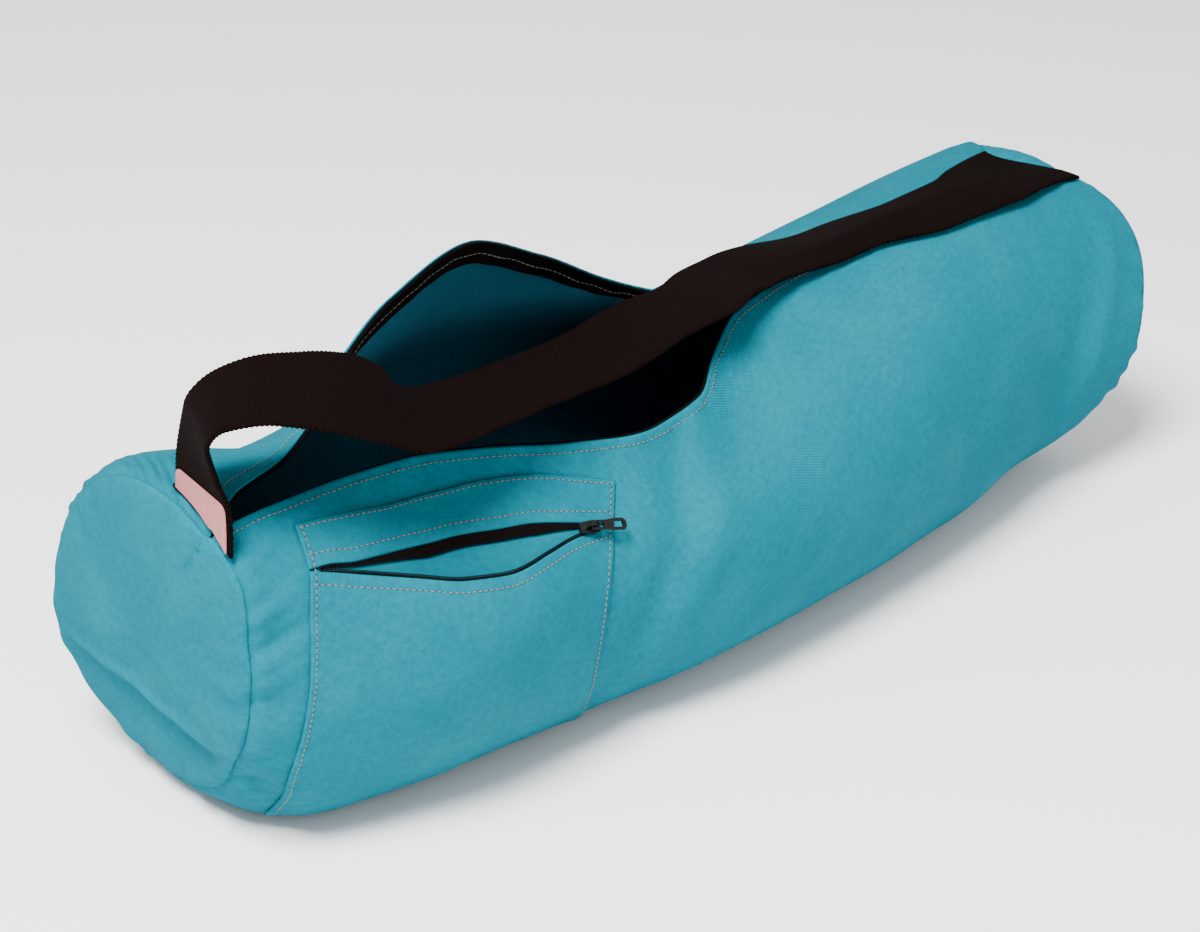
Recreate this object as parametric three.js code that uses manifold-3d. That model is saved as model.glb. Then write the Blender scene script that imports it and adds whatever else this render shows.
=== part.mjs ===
// Tube-shaped carry bag in canvas: a long zip mouth held open by a raised flap, a zip pocket on the near
// side, and a webbing strap from end seam to end seam. Millimetres, +X from the near end to the far end,
// +Y away from the pocket, +Z up. The origin is the middle of the flat underside.
import * as THREE from 'three';
import Module from 'manifold-3d';

const wasm = await Module();
wasm.setup();

// Driving sizes
const bagLength = 650;
const bagRadius = 95;
const canvasThick = 1.6;
const seamGap = 0.3;
const strapWidth = 48;
const strapThick = 2.4;
const tapeWidth = 9;
const tapeThick = 0.8;
const coilReach = 1.7;
const coilThick = 2.2;
const pocketBulge = 15;
const pocketGap = 0.7;
const pocketHemRise = 34;
const pocketTapeWidth = 3.6;
const labelThick = 1.0;
const tubeStations = 38;
const tubeColumns = 38;

const endRoom = canvasThick + seamGap;
const tubeLength = bagLength - 2 * endRoom;
const radians = THREE.MathUtils.degToRad;
const { lerp, smoothstep, clamp } = THREE.MathUtils;

// Colours and finishes
const finish = (color, roughness) => new THREE.MeshStandardMaterial({ color, roughness, metalness: 0 });
const canvas = finish('#3ba9bd', 0.85);
const webbing = finish('#1d1210', 0.8);
const zipTape = finish('#1a1312', 0.75);
const zipPlastic = finish('#121212', 0.4);
const satin = finish('#d9a3a3', 0.5);

// A table whose columns are read anywhere between its rows by a smooth curve that never overshoots them
class Table {
  constructor(columns, rows) {
    this.columns = columns.slice(1);
    this.keys = rows.map((row) => row[0]);
    this.values = this.columns.map((_, c) => rows.map((row) => row[c + 1]));
    this.slopes = this.values.map((values) => this.tangents(values));
  }

  tangents(values) {
    const last = values.length - 1;
    const step = (i) => this.keys[i + 1] - this.keys[i];
    const rise = (i) => (values[i + 1] - values[i]) / step(i);
    return values.map((_, i) => {
      if (i === 0) return rise(0);
      if (i === last) return rise(last - 1);
      if (rise(i - 1) * rise(i) <= 0) return 0;
      const before = 2 * step(i) + step(i - 1);
      const after = step(i) + 2 * step(i - 1);
      return (before + after) / (before / rise(i - 1) + after / rise(i));
    });
  }

  read(key) {
    const last = this.keys.length - 2;
    let i = this.keys.findIndex((k) => k > key) - 1;
    if (i < 0) i = key < this.keys[0] ? 0 : last;
    const step = this.keys[i + 1] - this.keys[i];
    const t = (key - this.keys[i]) / step;
    const result = {};
    this.columns.forEach((name, c) => {
      const [values, slopes] = [this.values[c], this.slopes[c]];
      result[name] = (2 * t ** 3 - 3 * t ** 2 + 1) * values[i]
        + (t ** 3 - 2 * t ** 2 + t) * step * slopes[i]
        + (3 * t ** 2 - 2 * t ** 3) * values[i + 1]
        + (t ** 3 - t ** 2) * step * slopes[i + 1];
    });
    return result;
  }
}

// The body's sections. at is a share of the tube's length, every other length a share of the bag's radius.
// near and far are the widest reaches to each side, nearRise and farRise their heights, foot the half
// width of the flat underside, footShift its middle, lift its height above the ground.
const belly = new Table(['at', 'near', 'nearRise', 'far', 'farRise', 'foot', 'footShift', 'lift'], [
  [0, 0.712, 1.361, 1.114, 0.775, 0.048, 0.402, 0.124],
  [0.043, 0.816, 1.16, 1.17, 1.03, 0.208, 0.193, 0.022],
  [0.092, 0.887, 1.051, 1.11, 1.16, 0.264, 0.099, 0],
  [0.185, 0.993, 1.01, 0.98, 1.02, 0.316, 0.066, 0],
  [0.308, 1.084, 1.016, 0.928, 0.952, 0.398, 0.021, 0],
  [0.446, 1.215, 1.001, 0.964, 0.992, 0.425, 0, 0],
  [0.615, 1.168, 1.044, 1.01, 1.029, 0.418, 0, 0],
  [0.769, 1.042, 1.093, 1.037, 1.029, 0.381, 0.025, 0],
  [0.892, 0.916, 1.148, 1.067, 1.074, 0.337, 0.048, 0.087],
  [0.962, 0.939, 1.112, 1.046, 1.118, 0.27, 0.052, 0.126],
  [1, 0.93, 1.086, 1.03, 1.157, 0.179, 0.063, 0.241],
]);

// The two lips of the mouth. out is across (+Y), up the height, lean the way the cloth runs at the lip,
// in degrees: down and out from the near lip, in towards the far lip.
const nearLip = new Table(['at', 'out', 'up', 'lean'], [
  [0, -0.477, 1.904, 24],
  [0.046, -0.455, 1.918, 35],
  [0.092, -0.453, 1.916, 44],
  [0.169, -0.471, 1.891, 59],
  [0.231, -0.547, 1.832, 67],
  [0.308, -0.678, 1.733, 71],
  [0.377, -0.755, 1.677, 68],
  [0.438, -0.692, 1.71, 58],
  [0.485, -0.505, 1.834, 47],
  [0.538, -0.348, 1.939, 35],
  [0.615, -0.304, 1.998, 23],
  [0.769, -0.311, 2.029, 16],
  [0.962, -0.339, 2.0, 20],
  [1, -0.34, 1.985, 22],
]);
const farLip = new Table(['at', 'out', 'up', 'lean'], [
  [0, -0.448, 1.9, 204],
  [0.038, -0.299, 1.972, 186],
  [0.085, -0.202, 1.991, 168],
  [0.123, -0.079, 2.044, 143],
  [0.169, 0.068, 2.225, 120],
  [0.231, 0.145, 2.446, 110],
  [0.308, 0.169, 2.597, 112],
  [0.377, 0.095, 2.425, 122],
  [0.438, -0.009, 2.193, 137],
  [0.485, -0.096, 2.069, 148],
  [0.538, -0.189, 2.021, 158],
  [0.615, -0.247, 2.02, 166],
  [0.769, -0.25, 2.048, 176],
  [0.962, -0.279, 2.02, 196],
  [1, -0.292, 1.995, 200],
]);

// Folds and dents of the cloth. at and run are shares of the tube's length, arc (down from the near lip),
// wide and rise shares of the radius, slant in degrees, and a dent has a negative rise.
const folds = [
  ['at', 'arc', 'run', 'wide', 'slant', 'rise'],
  [0.352, 0.75, 0.02, 0.7, 24, -0.05],
  [0.395, 0.6, 0.022, 0.7, 26, 0.03],
  [0.016, 0.62, 0.022, 0.1, 12, -0.035],
  [0.014, 0.98, 0.018, 0.09, -8, -0.03],
  [0.935, 1.1, 0.014, 0.6, 14, 0.025],
  [0.9, 1.2, 0.02, 0.55, 14, -0.02],
  [0.8, 0.2, 0.13, 0.2, 0, 0.05],
].slice(1).map(([at, arc, run, wide, slant, rise]) => ({ at, arc, run, wide, slant, rise }));

// The lower part of the near end is folded under along a crease that climbs towards the far side
const creaseHeight = 0.668;
const creaseClimb = 0.137;
const tuckSlope = 0.22;
const tuckReach = 0.092;
const tuckSoftness = 0.042;

const belowCrease = (y, z) => creaseHeight * bagRadius + creaseClimb * y - z;

function tuck(at, y, z) {
  const below = belowCrease(y, z);
  const soft = (below + Math.hypot(below, tuckSoftness * bagRadius)) / 2;
  return tuckSlope * soft * Math.max(0, 1 - at / tuckReach) ** 2;
}

// The strap draws the top of the far end seam back towards the middle of the bag
const drawnBack = 0.44;
const drawnOut = 0;
const drawnWide = 0.35;
const drawnFrom = 0.7;
const drawnHeights = [1.3, 1.9];

function drawn(at, y, z) {
  const across = (y / bagRadius - drawnOut) / drawnWide;
  const share = smoothstep(at, drawnFrom, 1) * smoothstep(z / bagRadius, ...drawnHeights);
  return drawnBack * bagRadius * share * Math.exp(-(across ** 2));
}

// How far the control points of a round quarter stand from its ends, as a share of its radius
const quarter = 0.5523;
const lipTension = 0.95;
const sections = new Map();

// One section across the tube, from the near lip down, under the belly and up to the far lip
function section(at) {
  if (sections.has(at)) return sections.get(at);
  const shape = belly.read(at);
  const size = (name) => shape[name] * bagRadius;
  const lip = (row) => new THREE.Vector2(row.out, row.up).multiplyScalar(bagRadius);
  const [nearRow, farRow] = [nearLip.read(at), farLip.read(at)];
  const [start, end] = [lip(nearRow), lip(farRow)];
  const nearSide = new THREE.Vector2(-size('near'), size('nearRise'));
  const farSide = new THREE.Vector2(size('far'), size('farRise'));
  const nearFoot = new THREE.Vector2(size('footShift') - size('foot'), size('lift'));
  const farFoot = new THREE.Vector2(size('footShift') + size('foot'), size('lift'));
  const away = (from, lean, side) => {
    const arm = quarter * lipTension * from.distanceTo(side);
    return from.clone().sub(new THREE.Vector2(Math.cos(lean), Math.sin(lean)).multiplyScalar(arm));
  };
  const shifted = (point, y, z) => point.clone().add(new THREE.Vector2(y, z));
  const path = new THREE.CurvePath();
  path.add(new THREE.CubicBezierCurve(
    start, away(start, radians(nearRow.lean), nearSide),
    shifted(nearSide, 0, quarter * (start.y - nearSide.y)), nearSide));
  path.add(new THREE.CubicBezierCurve(
    nearSide, shifted(nearSide, 0, -quarter * (nearSide.y - nearFoot.y)),
    shifted(nearFoot, -quarter * (nearFoot.x - nearSide.x), 0), nearFoot));
  path.add(new THREE.LineCurve(nearFoot, farFoot));
  path.add(new THREE.CubicBezierCurve(
    farFoot, shifted(farFoot, quarter * (farSide.x - farFoot.x), 0),
    shifted(farSide, 0, -quarter * (farSide.y - farFoot.y)), farSide));
  path.add(new THREE.CubicBezierCurve(
    farSide, shifted(farSide, 0, quarter * (end.y - farSide.y)),
    away(end, radians(farRow.lean), farSide), end));
  const lengths = path.getCurveLengths();
  const result = { path, start, end, nearRow, farRow, girth: lengths[4], footArc: lengths[1] };
  sections.set(at, result);
  return result;
}

// A point of the cloth's outer face, before its folds. arc runs from the near lip, and a point past
// either lip carries straight on.
function smoothPoint(at, arc) {
  const { path, start, end, nearRow, farRow, girth } = section(at);
  const onward = (lip, lean, length) => new THREE.Vector2(Math.cos(lean), Math.sin(lean))
    .multiplyScalar(length).add(lip);
  let flat = null;
  if (arc < 0) flat = onward(start, radians(nearRow.lean), -arc);
  else if (arc > girth) flat = onward(end, radians(farRow.lean), arc - girth);
  else flat = path.getPoint(arc / girth);
  const along = tuck(at, flat.x, flat.y) - drawn(at, flat.x, flat.y);
  return new THREE.Vector3((at - 0.5) * tubeLength + along, flat.x, flat.y);
}

const probe = 1.5;

function outwards(at, arc) {
  const stepAt = probe / tubeLength;
  const round = smoothPoint(at, arc + probe).sub(smoothPoint(at, arc - probe));
  const [before, after] = [Math.max(at - stepAt, 0), Math.min(at + stepAt, 1)];
  const onwards = smoothPoint(after, arc).sub(smoothPoint(before, arc));
  return round.cross(onwards).normalize();
}

function foldRise(at, arc) {
  let rise = 0;
  for (const fold of folds) {
    const tilt = Math.tan(radians(fold.slant));
    const below = arc - fold.arc * bagRadius;
    const down = below / (fold.wide * bagRadius);
    const across = ((at - fold.at) * tubeLength + tilt * below) / (fold.run * tubeLength);
    rise += fold.rise * bagRadius * Math.exp(-(down ** 2) - across ** 2);
  }
  return rise;
}

// A point at a height above the cloth's outer face
function bodyPoint(at, arc, height = 0) {
  const normal = outwards(at, arc);
  return smoothPoint(at, arc).addScaledVector(normal, foldRise(at, arc) + height);
}

// Triangles of a grid of points, row by row, with its first and last columns joined when it is a ring
function gridFaces(rows, columns, ring = false) {
  const faces = [];
  const across = ring ? columns : columns - 1;
  for (let r = 0; r < rows - 1; r += 1) {
    for (let c = 0; c < across; c += 1) {
      const [a, b] = [r * columns + c, r * columns + ((c + 1) % columns)];
      faces.push([a, a + columns, b], [b, a + columns, b + columns]);
    }
  }
  return faces;
}

// A closed solid from a sheet of points: above and below are the thickness on each side of every point,
// and steer turns the way that the thickness of a point is laid
function thicken(points, faces, above, below, steer = (normal) => normal) {
  const normals = points.map(() => new THREE.Vector3());
  for (const [a, b, c] of faces) {
    const normal = points[b].clone().sub(points[a]).cross(points[c].clone().sub(points[a]));
    for (const corner of [a, b, c]) normals[corner].add(normal);
  }
  normals.forEach((normal, i) => steer(normal, i).normalize());
  const amount = (value, i) => (typeof value === 'function' ? value(i) : value);
  const face = (side, value) => points.map(
    (p, i) => p.clone().addScaledVector(normals[i], side * amount(value, i)));
  const corners = [...face(1, above), ...face(-1, below)];
  const count = points.length;
  const triangles = faces.flatMap(([a, b, c]) => [[a, b, c], [a + count, c + count, b + count]]);
  const edges = new Set(faces.flatMap(([a, b, c]) => [`${a},${b}`, `${b},${c}`, `${c},${a}`]));
  for (const edge of edges) {
    const [a, b] = edge.split(',').map(Number);
    if (!edges.has(`${b},${a}`)) triangles.push([a, a + count, b], [b, a + count, b + count]);
  }
  const numbers = corners.flatMap((p) => p.toArray());
  const geometry = new THREE.BufferGeometry();
  geometry.setAttribute('position', new THREE.Float32BufferAttribute(numbers, 3));
  geometry.setIndex(triangles.flat());
  geometry.computeVertexNormals();
  return geometry;
}

const bag = new THREE.Group();

function addPiece(name, geometry, material, parent = bag) {
  const mesh = new THREE.Mesh(geometry, material);
  mesh.name = name;
  parent.add(mesh);
  return mesh;
}

// Shares from 0 to 1, closer together at both ends than in the middle
const endCrowding = 0.5;
const spread = (count) => Array.from({ length: count + 1 }, (_, i) => {
  const t = i / count;
  return t - (endCrowding * Math.sin(2 * Math.PI * t)) / (2 * Math.PI);
});
const even = (count) => Array.from({ length: count + 1 }, (_, i) => i / count);

// Tube panel, one sheet of canvas from lip to lip
const tubePlaces = spread(tubeStations);
const tubePoints = even(tubeColumns).flatMap(
  (share) => tubePlaces.map((at) => bodyPoint(at, share * section(at).girth)));
const tubeFaces = gridFaces(tubeColumns + 1, tubePlaces.length);
const squareAtSeams = (normal, i) => (
  [0, tubeStations].includes(i % tubePlaces.length) ? normal.setX(0) : normal);
addPiece('tube_panel', thicken(tubePoints, tubeFaces, 0, canvasThick, squareAtSeams), canvas);

// End panels, round canvas sheets that close the tube. The near one has a ridge along its crease and is
// pushed in below it.
const endHem = 0.96;
const endRings = [0.3, 0.55, 0.75, 0.88, endHem, 1];
const endDome = 5;
const domeFullness = 3;
const ridgeRise = 1.6;
const ridgeWidth = 5;
const hollowDepth = 11;
const hollowSlope = 9;
const hollowReach = 34;
const hollowLeast = 0.25;
const hollowSides = [70, -60];
const creaseSoftness = 1.5;

// The cloth below the crease turns inwards, more so towards the pocket's side
function nearRelief(y, z) {
  const below = belowCrease(y, z);
  const soft = (below + Math.hypot(below, creaseSoftness)) / 2;
  const side = clamp((hollowSides[0] - y) / (hollowSides[0] - hollowSides[1]), 0, 1);
  const hollow = (1 - Math.exp(-soft / hollowSlope)) * Math.exp(-((soft / hollowReach) ** 2));
  return hollowDepth * lerp(hollowLeast, 1, side) * hollow
    - ridgeRise * Math.exp(-((below / ridgeWidth) ** 2));
}

// The far panel stands full and round past its seam where the strap draws that back
const shoulderPower = 10;
const puffPower = 6;
const puff = 1.5;

function endPanel(at, side, relief, power) {
  const { girth } = section(at);
  const rim = even(tubeColumns).map((share) => bodyPoint(at, share * girth));
  const middle = rim.reduce((sum, p) => sum.add(p), new THREE.Vector3()).divideScalar(rim.length);
  middle.x = Math.max(middle.x, (at - 0.5) * tubeLength);
  const place = (rimPoint, share) => {
    const back = drawn(at, rimPoint.y, rimPoint.z) / (drawnBack * bagRadius);
    const point = middle.clone().lerp(rimPoint, share + puff * back * share ** puffPower * (1 - share));
    point.x = lerp(middle.x, rimPoint.x, share ** power);
    const inner = Math.max(0, 1 - (share / endHem) ** domeFullness);
    point.x += side * (seamGap + endDome * inner) + relief(point.y, point.z) * inner;
    return point;
  };
  const points = [place(rim[0], 0), ...endRings.flatMap((share) => rim.map((p) => place(p, share)))];
  const count = rim.length;
  const turn = ([a, b, c]) => (side > 0 ? [a, b, c] : [a, c, b]);
  const hub = rim.map((_, i) => [0, 1 + i, 1 + ((i + 1) % count)]);
  const rest = gridFaces(endRings.length, count, true).map((face) => face.map((i) => i + 1));
  const faces = [...hub, ...rest].map(turn);
  const offTheTube = (normal) => normal.setX(side * Math.max(side * normal.x, 0));
  return thicken(points, faces, canvasThick, 0, offTheTube);
}

addPiece('near_end_panel', endPanel(0, -1, nearRelief, 1), canvas);
addPiece('far_end_panel', endPanel(1, 1, () => 0, shoulderPower), canvas);

// Main zip: a tape under each lip, with half of the coil standing past the lip
const zipFrom = 0.03;
const zipTo = 0.975;
const zipPlaces = tubePlaces.filter((at) => at > zipFrom && at < zipTo);
const zipGap = 0.75;
const zipDrop = canvasThick + zipGap + tapeThick / 2;
const coilRoot = 0.4;
const coilFoot = 0.2;
const tapeProfile = [
  { past: coilReach, half: coilThick / 2 },
  { past: coilRoot, half: coilThick / 2 },
  { past: coilFoot, half: tapeThick / 2 },
  { past: -tapeWidth, half: tapeThick / 2 },
];

function mainTape(arcAt, far) {
  const profile = far ? [...tapeProfile].reverse() : tapeProfile;
  const points = profile.flatMap(
    ({ past }) => zipPlaces.map((at) => bodyPoint(at, arcAt(at, past), -zipDrop)));
  const half = (i) => profile[Math.floor(i / zipPlaces.length)].half;
  return thicken(points, gridFaces(profile.length, zipPlaces.length), half, half);
}

addPiece('main_zip_near_tape', mainTape((at, past) => -past, false), zipTape);
addPiece('main_zip_far_tape', mainTape((at, past) => section(at).girth + past, true), zipTape);

// Pocket. Its sides run down the body, and its mouth is the open zip between the band and the panel.
// across is a share from the left side to the right, arc and the edges shares of the radius.
const pocketSides = new Table(['arc', 'left', 'right'], [
  [0.16, 0.058, 0.334],
  [0.36, 0.051, 0.318],
  [0.53, 0.043, 0.303],
  [0.72, 0.04, 0.291],
  [0.92, 0.038, 0.285],
  [1.2, 0.034, 0.282],
  [1.53, 0.031, 0.289],
  [1.89, 0.034, 0.305],
  [2.6, 0.04, 0.315],
]);
const pocketMouth = new Table(['across', 'top', 'upper', 'lower'], [
  [0, 0.14, 0.355, 0.375],
  [0.06, 0.15, 0.365, 0.405],
  [0.15, 0.17, 0.4, 0.45],
  [0.31, 0.195, 0.42, 0.525],
  [0.45, 0.195, 0.43, 0.59],
  [0.6, 0.165, 0.43, 0.62],
  [0.75, 0.155, 0.42, 0.565],
  [0.87, 0.18, 0.43, 0.505],
  [1, 0.225, 0.45, 0.47],
]);

// How far the panel bellies out, as a share of its bulge, down from the mouth to the hem
const pocketFill = new Table(['down', 'rise'], [
  [0, 1],
  [0.12, 1],
  [0.3, 0.88],
  [0.55, 0.45],
  [0.8, 0.12],
  [1, 0],
]);
const pocketRoundness = 1.3;

function pocketAt(across, arc) {
  const { left, right } = pocketSides.read(arc / bagRadius);
  return lerp(left, right, across);
}

// The panel stands off the body most at its open edge, where it is pushed level rather than square
const levelUntil = 0.5;

function pocketRise(across, down) {
  return pocketBulge * pocketFill.read(down).rise * Math.sin(Math.PI * across) ** pocketRoundness;
}

function pocketStand(across, down, arc, height) {
  const at = pocketAt(across, arc);
  const level = 1 - smoothstep(down, 0, levelUntil);
  const way = outwards(at, arc).lerp(new THREE.Vector3(0, -1, 0), level).normalize();
  return bodyPoint(at, arc, height).addScaledVector(way, pocketRise(across, down));
}

function pocketPoint(across, arc, height) {
  return bodyPoint(pocketAt(across, arc), arc, height);
}

const bandColumns = 14;
const bandRows = 2;
const bandPoints = even(bandRows).flatMap((down) => even(bandColumns).map((across) => {
  const { top, upper } = pocketMouth.read(across);
  return pocketPoint(across, lerp(top, upper, down) * bagRadius, pocketGap);
}));
const bandFaces = gridFaces(bandRows + 1, bandColumns + 1);
addPiece('pocket_band', thicken(bandPoints, bandFaces, canvasThick, 0), canvas);

const panelColumns = 14;
const panelRows = 14;
const hemArc = 2 * bagRadius;
const panelPoints = even(panelRows).flatMap((down) => even(panelColumns).map((across) => {
  const top = pocketMouth.read(across).lower * bagRadius;
  const hem = section(pocketAt(across, hemArc)).footArc - pocketHemRise;
  return pocketStand(across, down, lerp(top, hem, down), pocketGap);
}));
const panelFaces = gridFaces(panelRows + 1, panelColumns + 1);
addPiece('pocket_panel', thicken(panelPoints, panelFaces, canvasThick, 0), canvas);

// Pocket zip: a strip of tape along each edge of the mouth, thicker at the coil
const coilBead = 1.4;
const pocketZipEnds = [0.06, 0.94];

function pocketTape(edge, way, place) {
  const steps = [seamGap, pocketTapeWidth - coilBead, pocketTapeWidth];
  const rows = way > 0 ? steps : [...steps].reverse();
  const points = rows.flatMap((step) => even(bandColumns).map((share) => {
    const across = lerp(...pocketZipEnds, share);
    const reach = Math.min(1, openness(across));
    const arc = pocketMouth.read(across)[edge] * bagRadius + way * step * reach;
    return place(across, arc);
  }));
  const coilRow = way > 0 ? 2 : 0;
  const above = (i) => (Math.floor(i / (bandColumns + 1)) === coilRow ? coilBead : tapeThick);
  return thicken(points, gridFaces(3, bandColumns + 1), above, 0);
}

// Share of a tape's width that the gap between the mouth's edges leaves it
function openness(across) {
  const { upper, lower } = pocketMouth.read(across);
  return ((lower - upper) * bagRadius - seamGap) / (2 * pocketTapeWidth);
}

const onBody = (across, arc) => pocketPoint(across, arc, pocketGap);
const onPanel = (across, arc) => pocketStand(across, 0, arc, pocketGap);
addPiece('pocket_zip_upper_tape', pocketTape('upper', 1, onBody), zipTape);
addPiece('pocket_zip_lower_tape', pocketTape('lower', -1, onPanel), zipTape);

// Strap. run is a share of the strap's length, at a share of the tube's length, out, up and lift shares
// of the radius, turn and tilt the strap's width in degrees, and lie is 1 where it rests on the bag.
const strapPath = new Table(['run', 'at', 'out', 'up', 'turn', 'tilt', 'lie', 'lift'], [
  [0, 0.003, -0.365, 1.94, 6, 0, 1, 0.008],
  [0.02, 0.005, -0.37, 2.066, 7, 0, 0, 0.008],
  [0.042, 0.004, -0.358, 2.231, 15, 0, 0, 0.008],
  [0.064, 0.005, -0.358, 2.398, 24, 3, 0, 0.008],
  [0.086, 0.017, -0.426, 2.525, 30, 7, 0, 0.008],
  [0.113, 0.042, -0.537, 2.567, 30, 13, 0, 0.008],
  [0.144, 0.072, -0.645, 2.535, 28, 20, 0, 0.008],
  [0.175, 0.104, -0.709, 2.455, 24, 28, 0, 0.008],
  [0.207, 0.134, -0.715, 2.335, 15, 31, 0, 0.008],
  [0.238, 0.164, -0.666, 2.221, -2, 19, 0, 0.008],
  [0.27, 0.198, -0.606, 2.15, -9, 9, 0, 0.008],
  [0.338, 0.272, -0.522, 2.088, -7, 4, 0, 0.008],
  [0.409, 0.352, -0.477, 2.068, -6, 4, 0, 0.008],
  [0.483, 0.434, -0.398, 2.1, -12, 2, 0, 0.02],
  [0.521, 0.475, -0.388, 2.104, -13, 0, 0, 0.05],
  [0.559, 0.516, -0.281, 2.096, -11, -1, 0, 0.06],
  [0.597, 0.558, -0.2, 2.066, -6, 0, 0, 0.06],
  [0.635, 0.601, -0.165, 2.065, -1, 0, 0.2, 0.03],
  [0.713, 0.688, -0.168, 2.06, 5, -4.5, 1, 0.03],
  [0.792, 0.777, -0.29, 2.057, 4, -9, 1, 0.05],
  [0.873, 0.875, -0.285, 2.08, 1, -10, 1, 0.055],
  [0.913, 0.92, -0.23, 2.07, 0, -7, 1, 0.04],
  [0.955, 0.962, -0.19, 2.04, 0, -4, 1, 0.022],
  [1, 0.994, -0.17, 2.0, 0, 0, 1, 0.01],
]);
const strapStations = 50;
const strapAcross = [-0.5, -0.25, 0, 0.25, 0.5];

// Height of the bag's top above a place on the ground plan
const crownFrom = 1.3;
const crownStep = 4;
const leastStep = 1e-6;

function crown(x, y) {
  const at = clamp(x / tubeLength + 0.5, 0, 1);
  const { girth } = section(at);
  const steps = Math.floor(girth / crownStep);
  const line = even(steps).map((share) => smoothPoint(at, share * girth))
    .filter((p) => p.z > crownFrom * bagRadius);
  line.sort((a, b) => a.y - b.y);
  const next = line.findIndex((p) => p.y > y);
  if (next <= 0) return line[next < 0 ? line.length - 1 : 0].z;
  const [a, b] = [line[next - 1], line[next]];
  return lerp(a.z, b.z, (y - a.y) / Math.max(b.y - a.y, leastStep));
}

function strapPoint(run, across) {
  const row = strapPath.read(run);
  const [turn, tilt] = [radians(row.turn), radians(row.tilt)];
  const width = new THREE.Vector3(
    Math.sin(turn) * Math.cos(tilt), Math.cos(turn) * Math.cos(tilt), Math.sin(tilt));
  const point = new THREE.Vector3((row.at - 0.5) * tubeLength, row.out * bagRadius, row.up * bagRadius)
    .addScaledVector(width, across * strapWidth);
  const rest = crown(point.x, point.y) + strapThick / 2 + row.lift * bagRadius
    + width.z * across * strapWidth;
  point.z = lerp(point.z, rest, clamp(row.lie, 0, 1));
  point.x -= drawn(point.x / tubeLength + 0.5, point.y, point.z);
  return point;
}

const strapPoints = even(strapStations).flatMap(
  (run) => strapAcross.map((across) => strapPoint(run, across)));
const strapFaces = gridFaces(strapStations + 1, strapAcross.length);
addPiece('strap', thicken(strapPoints, strapFaces, strapThick / 2, strapThick / 2), webbing);

// Bare folded tag sewn into the end seam, against the strap's outer face
const labelWidth = 0.94;
const labelFrom = 0.12 / strapStations;
const labelTo = 1 / strapStations;
const labelGap = 0.54;
const labelStand = strapThick / 2 + labelGap;
const labelPoints = [labelFrom, labelTo].flatMap((run) => strapAcross.map((across) => {
  const point = strapPoint(run, across * labelWidth);
  const onward = strapPoint(labelTo, across * labelWidth).sub(strapPoint(labelFrom, across * labelWidth));
  const width = strapPoint(run, 0.5).sub(strapPoint(run, -0.5));
  return point.addScaledVector(onward.cross(width).normalize(), labelStand);
}));
addPiece('loop_label', thicken(labelPoints, gridFaces(2, strapAcross.length), labelThick, 0), satin);

// Joins or cuts two closed geometries
function merged(a, b, join) {
  const solid = (geometry) => {
    const index = new Map();
    const vertices = [];
    const triangles = [];
    const position = geometry.getAttribute('position');
    const order = geometry.index ? geometry.index.array : position.array.map((_, i) => i);
    const count = geometry.index ? order.length : position.count;
    for (let i = 0; i < count; i += 1) {
      const corner = new THREE.Vector3().fromBufferAttribute(position, order[i]);
      const key = corner.toArray().map((value) => value.toFixed(4)).join();
      if (!index.has(key)) {
        index.set(key, vertices.length / 3);
        vertices.push(...corner.toArray());
      }
      triangles.push(index.get(key));
    }
    return new wasm.Manifold(new wasm.Mesh({
      numProp: 3, vertProperties: new Float32Array(vertices), triVerts: new Uint32Array(triangles) }));
  };
  const mesh = join(solid(a), solid(b)).getMesh();
  const geometry = new THREE.BufferGeometry();
  geometry.setAttribute('position', new THREE.BufferAttribute(mesh.vertProperties, 3));
  geometry.setIndex(new THREE.BufferAttribute(mesh.triVerts, 1));
  geometry.computeVertexNormals();
  return geometry;
}

// A slider's plan: wide at the shoulders, narrower at the nose and tail. Shares of its length and width.
const sliderTail = 0.34;
const sliderShoulder = 0.2;
const sliderNose = 0.3;

// A closed outline through corners given as pairs, drawn into a shape or a hole
function outline(into, corners) {
  corners.forEach(([x, y], i) => (i === 0 ? into.moveTo(x, y) : into.lineTo(x, y)));
  into.closePath();
  return into;
}

const mirrored = (half) => [...half.map(([x, y]) => [x, -y]), ...[...half].reverse()];

function sliderPlan(length, width) {
  return outline(new THREE.Shape(), mirrored([
    [-length / 2, width * sliderTail],
    [length * sliderShoulder, width / 2],
    [length / 2, width * sliderNose],
  ]));
}

// A bridge's side view, a low arch with a window for the pull's bar
const archSpring = 0.55;
const archTop = 0.3;

function bridgeSide(length, height, bar) {
  const shape = outline(new THREE.Shape(), [
    [-length / 2, 0],
    [length / 2, 0],
    [length / 2, height * archSpring],
    [length * archTop, height],
    [-length * archTop, height],
    [-length / 2, height * archSpring],
  ]);
  shape.holes.push(outline(new THREE.Path(), [
    [-length / 2 + bar, bar],
    [-length / 2 + bar, height - bar],
    [length / 2 - bar, height - bar],
    [length / 2 - bar, bar],
  ]));
  return shape;
}

// A group whose +X runs along the zip and whose +Z stands out of the cloth
function onCloth(origin, onward, outward) {
  const group = new THREE.Group();
  const z = outward.clone().normalize();
  const x = onward.clone().addScaledVector(z, -onward.dot(z)).normalize();
  group.matrix.makeBasis(x, z.clone().cross(x), z).setPosition(origin);
  group.matrix.decompose(group.position, group.quaternion, group.scale);
  bag.add(group);
  return group;
}

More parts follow.
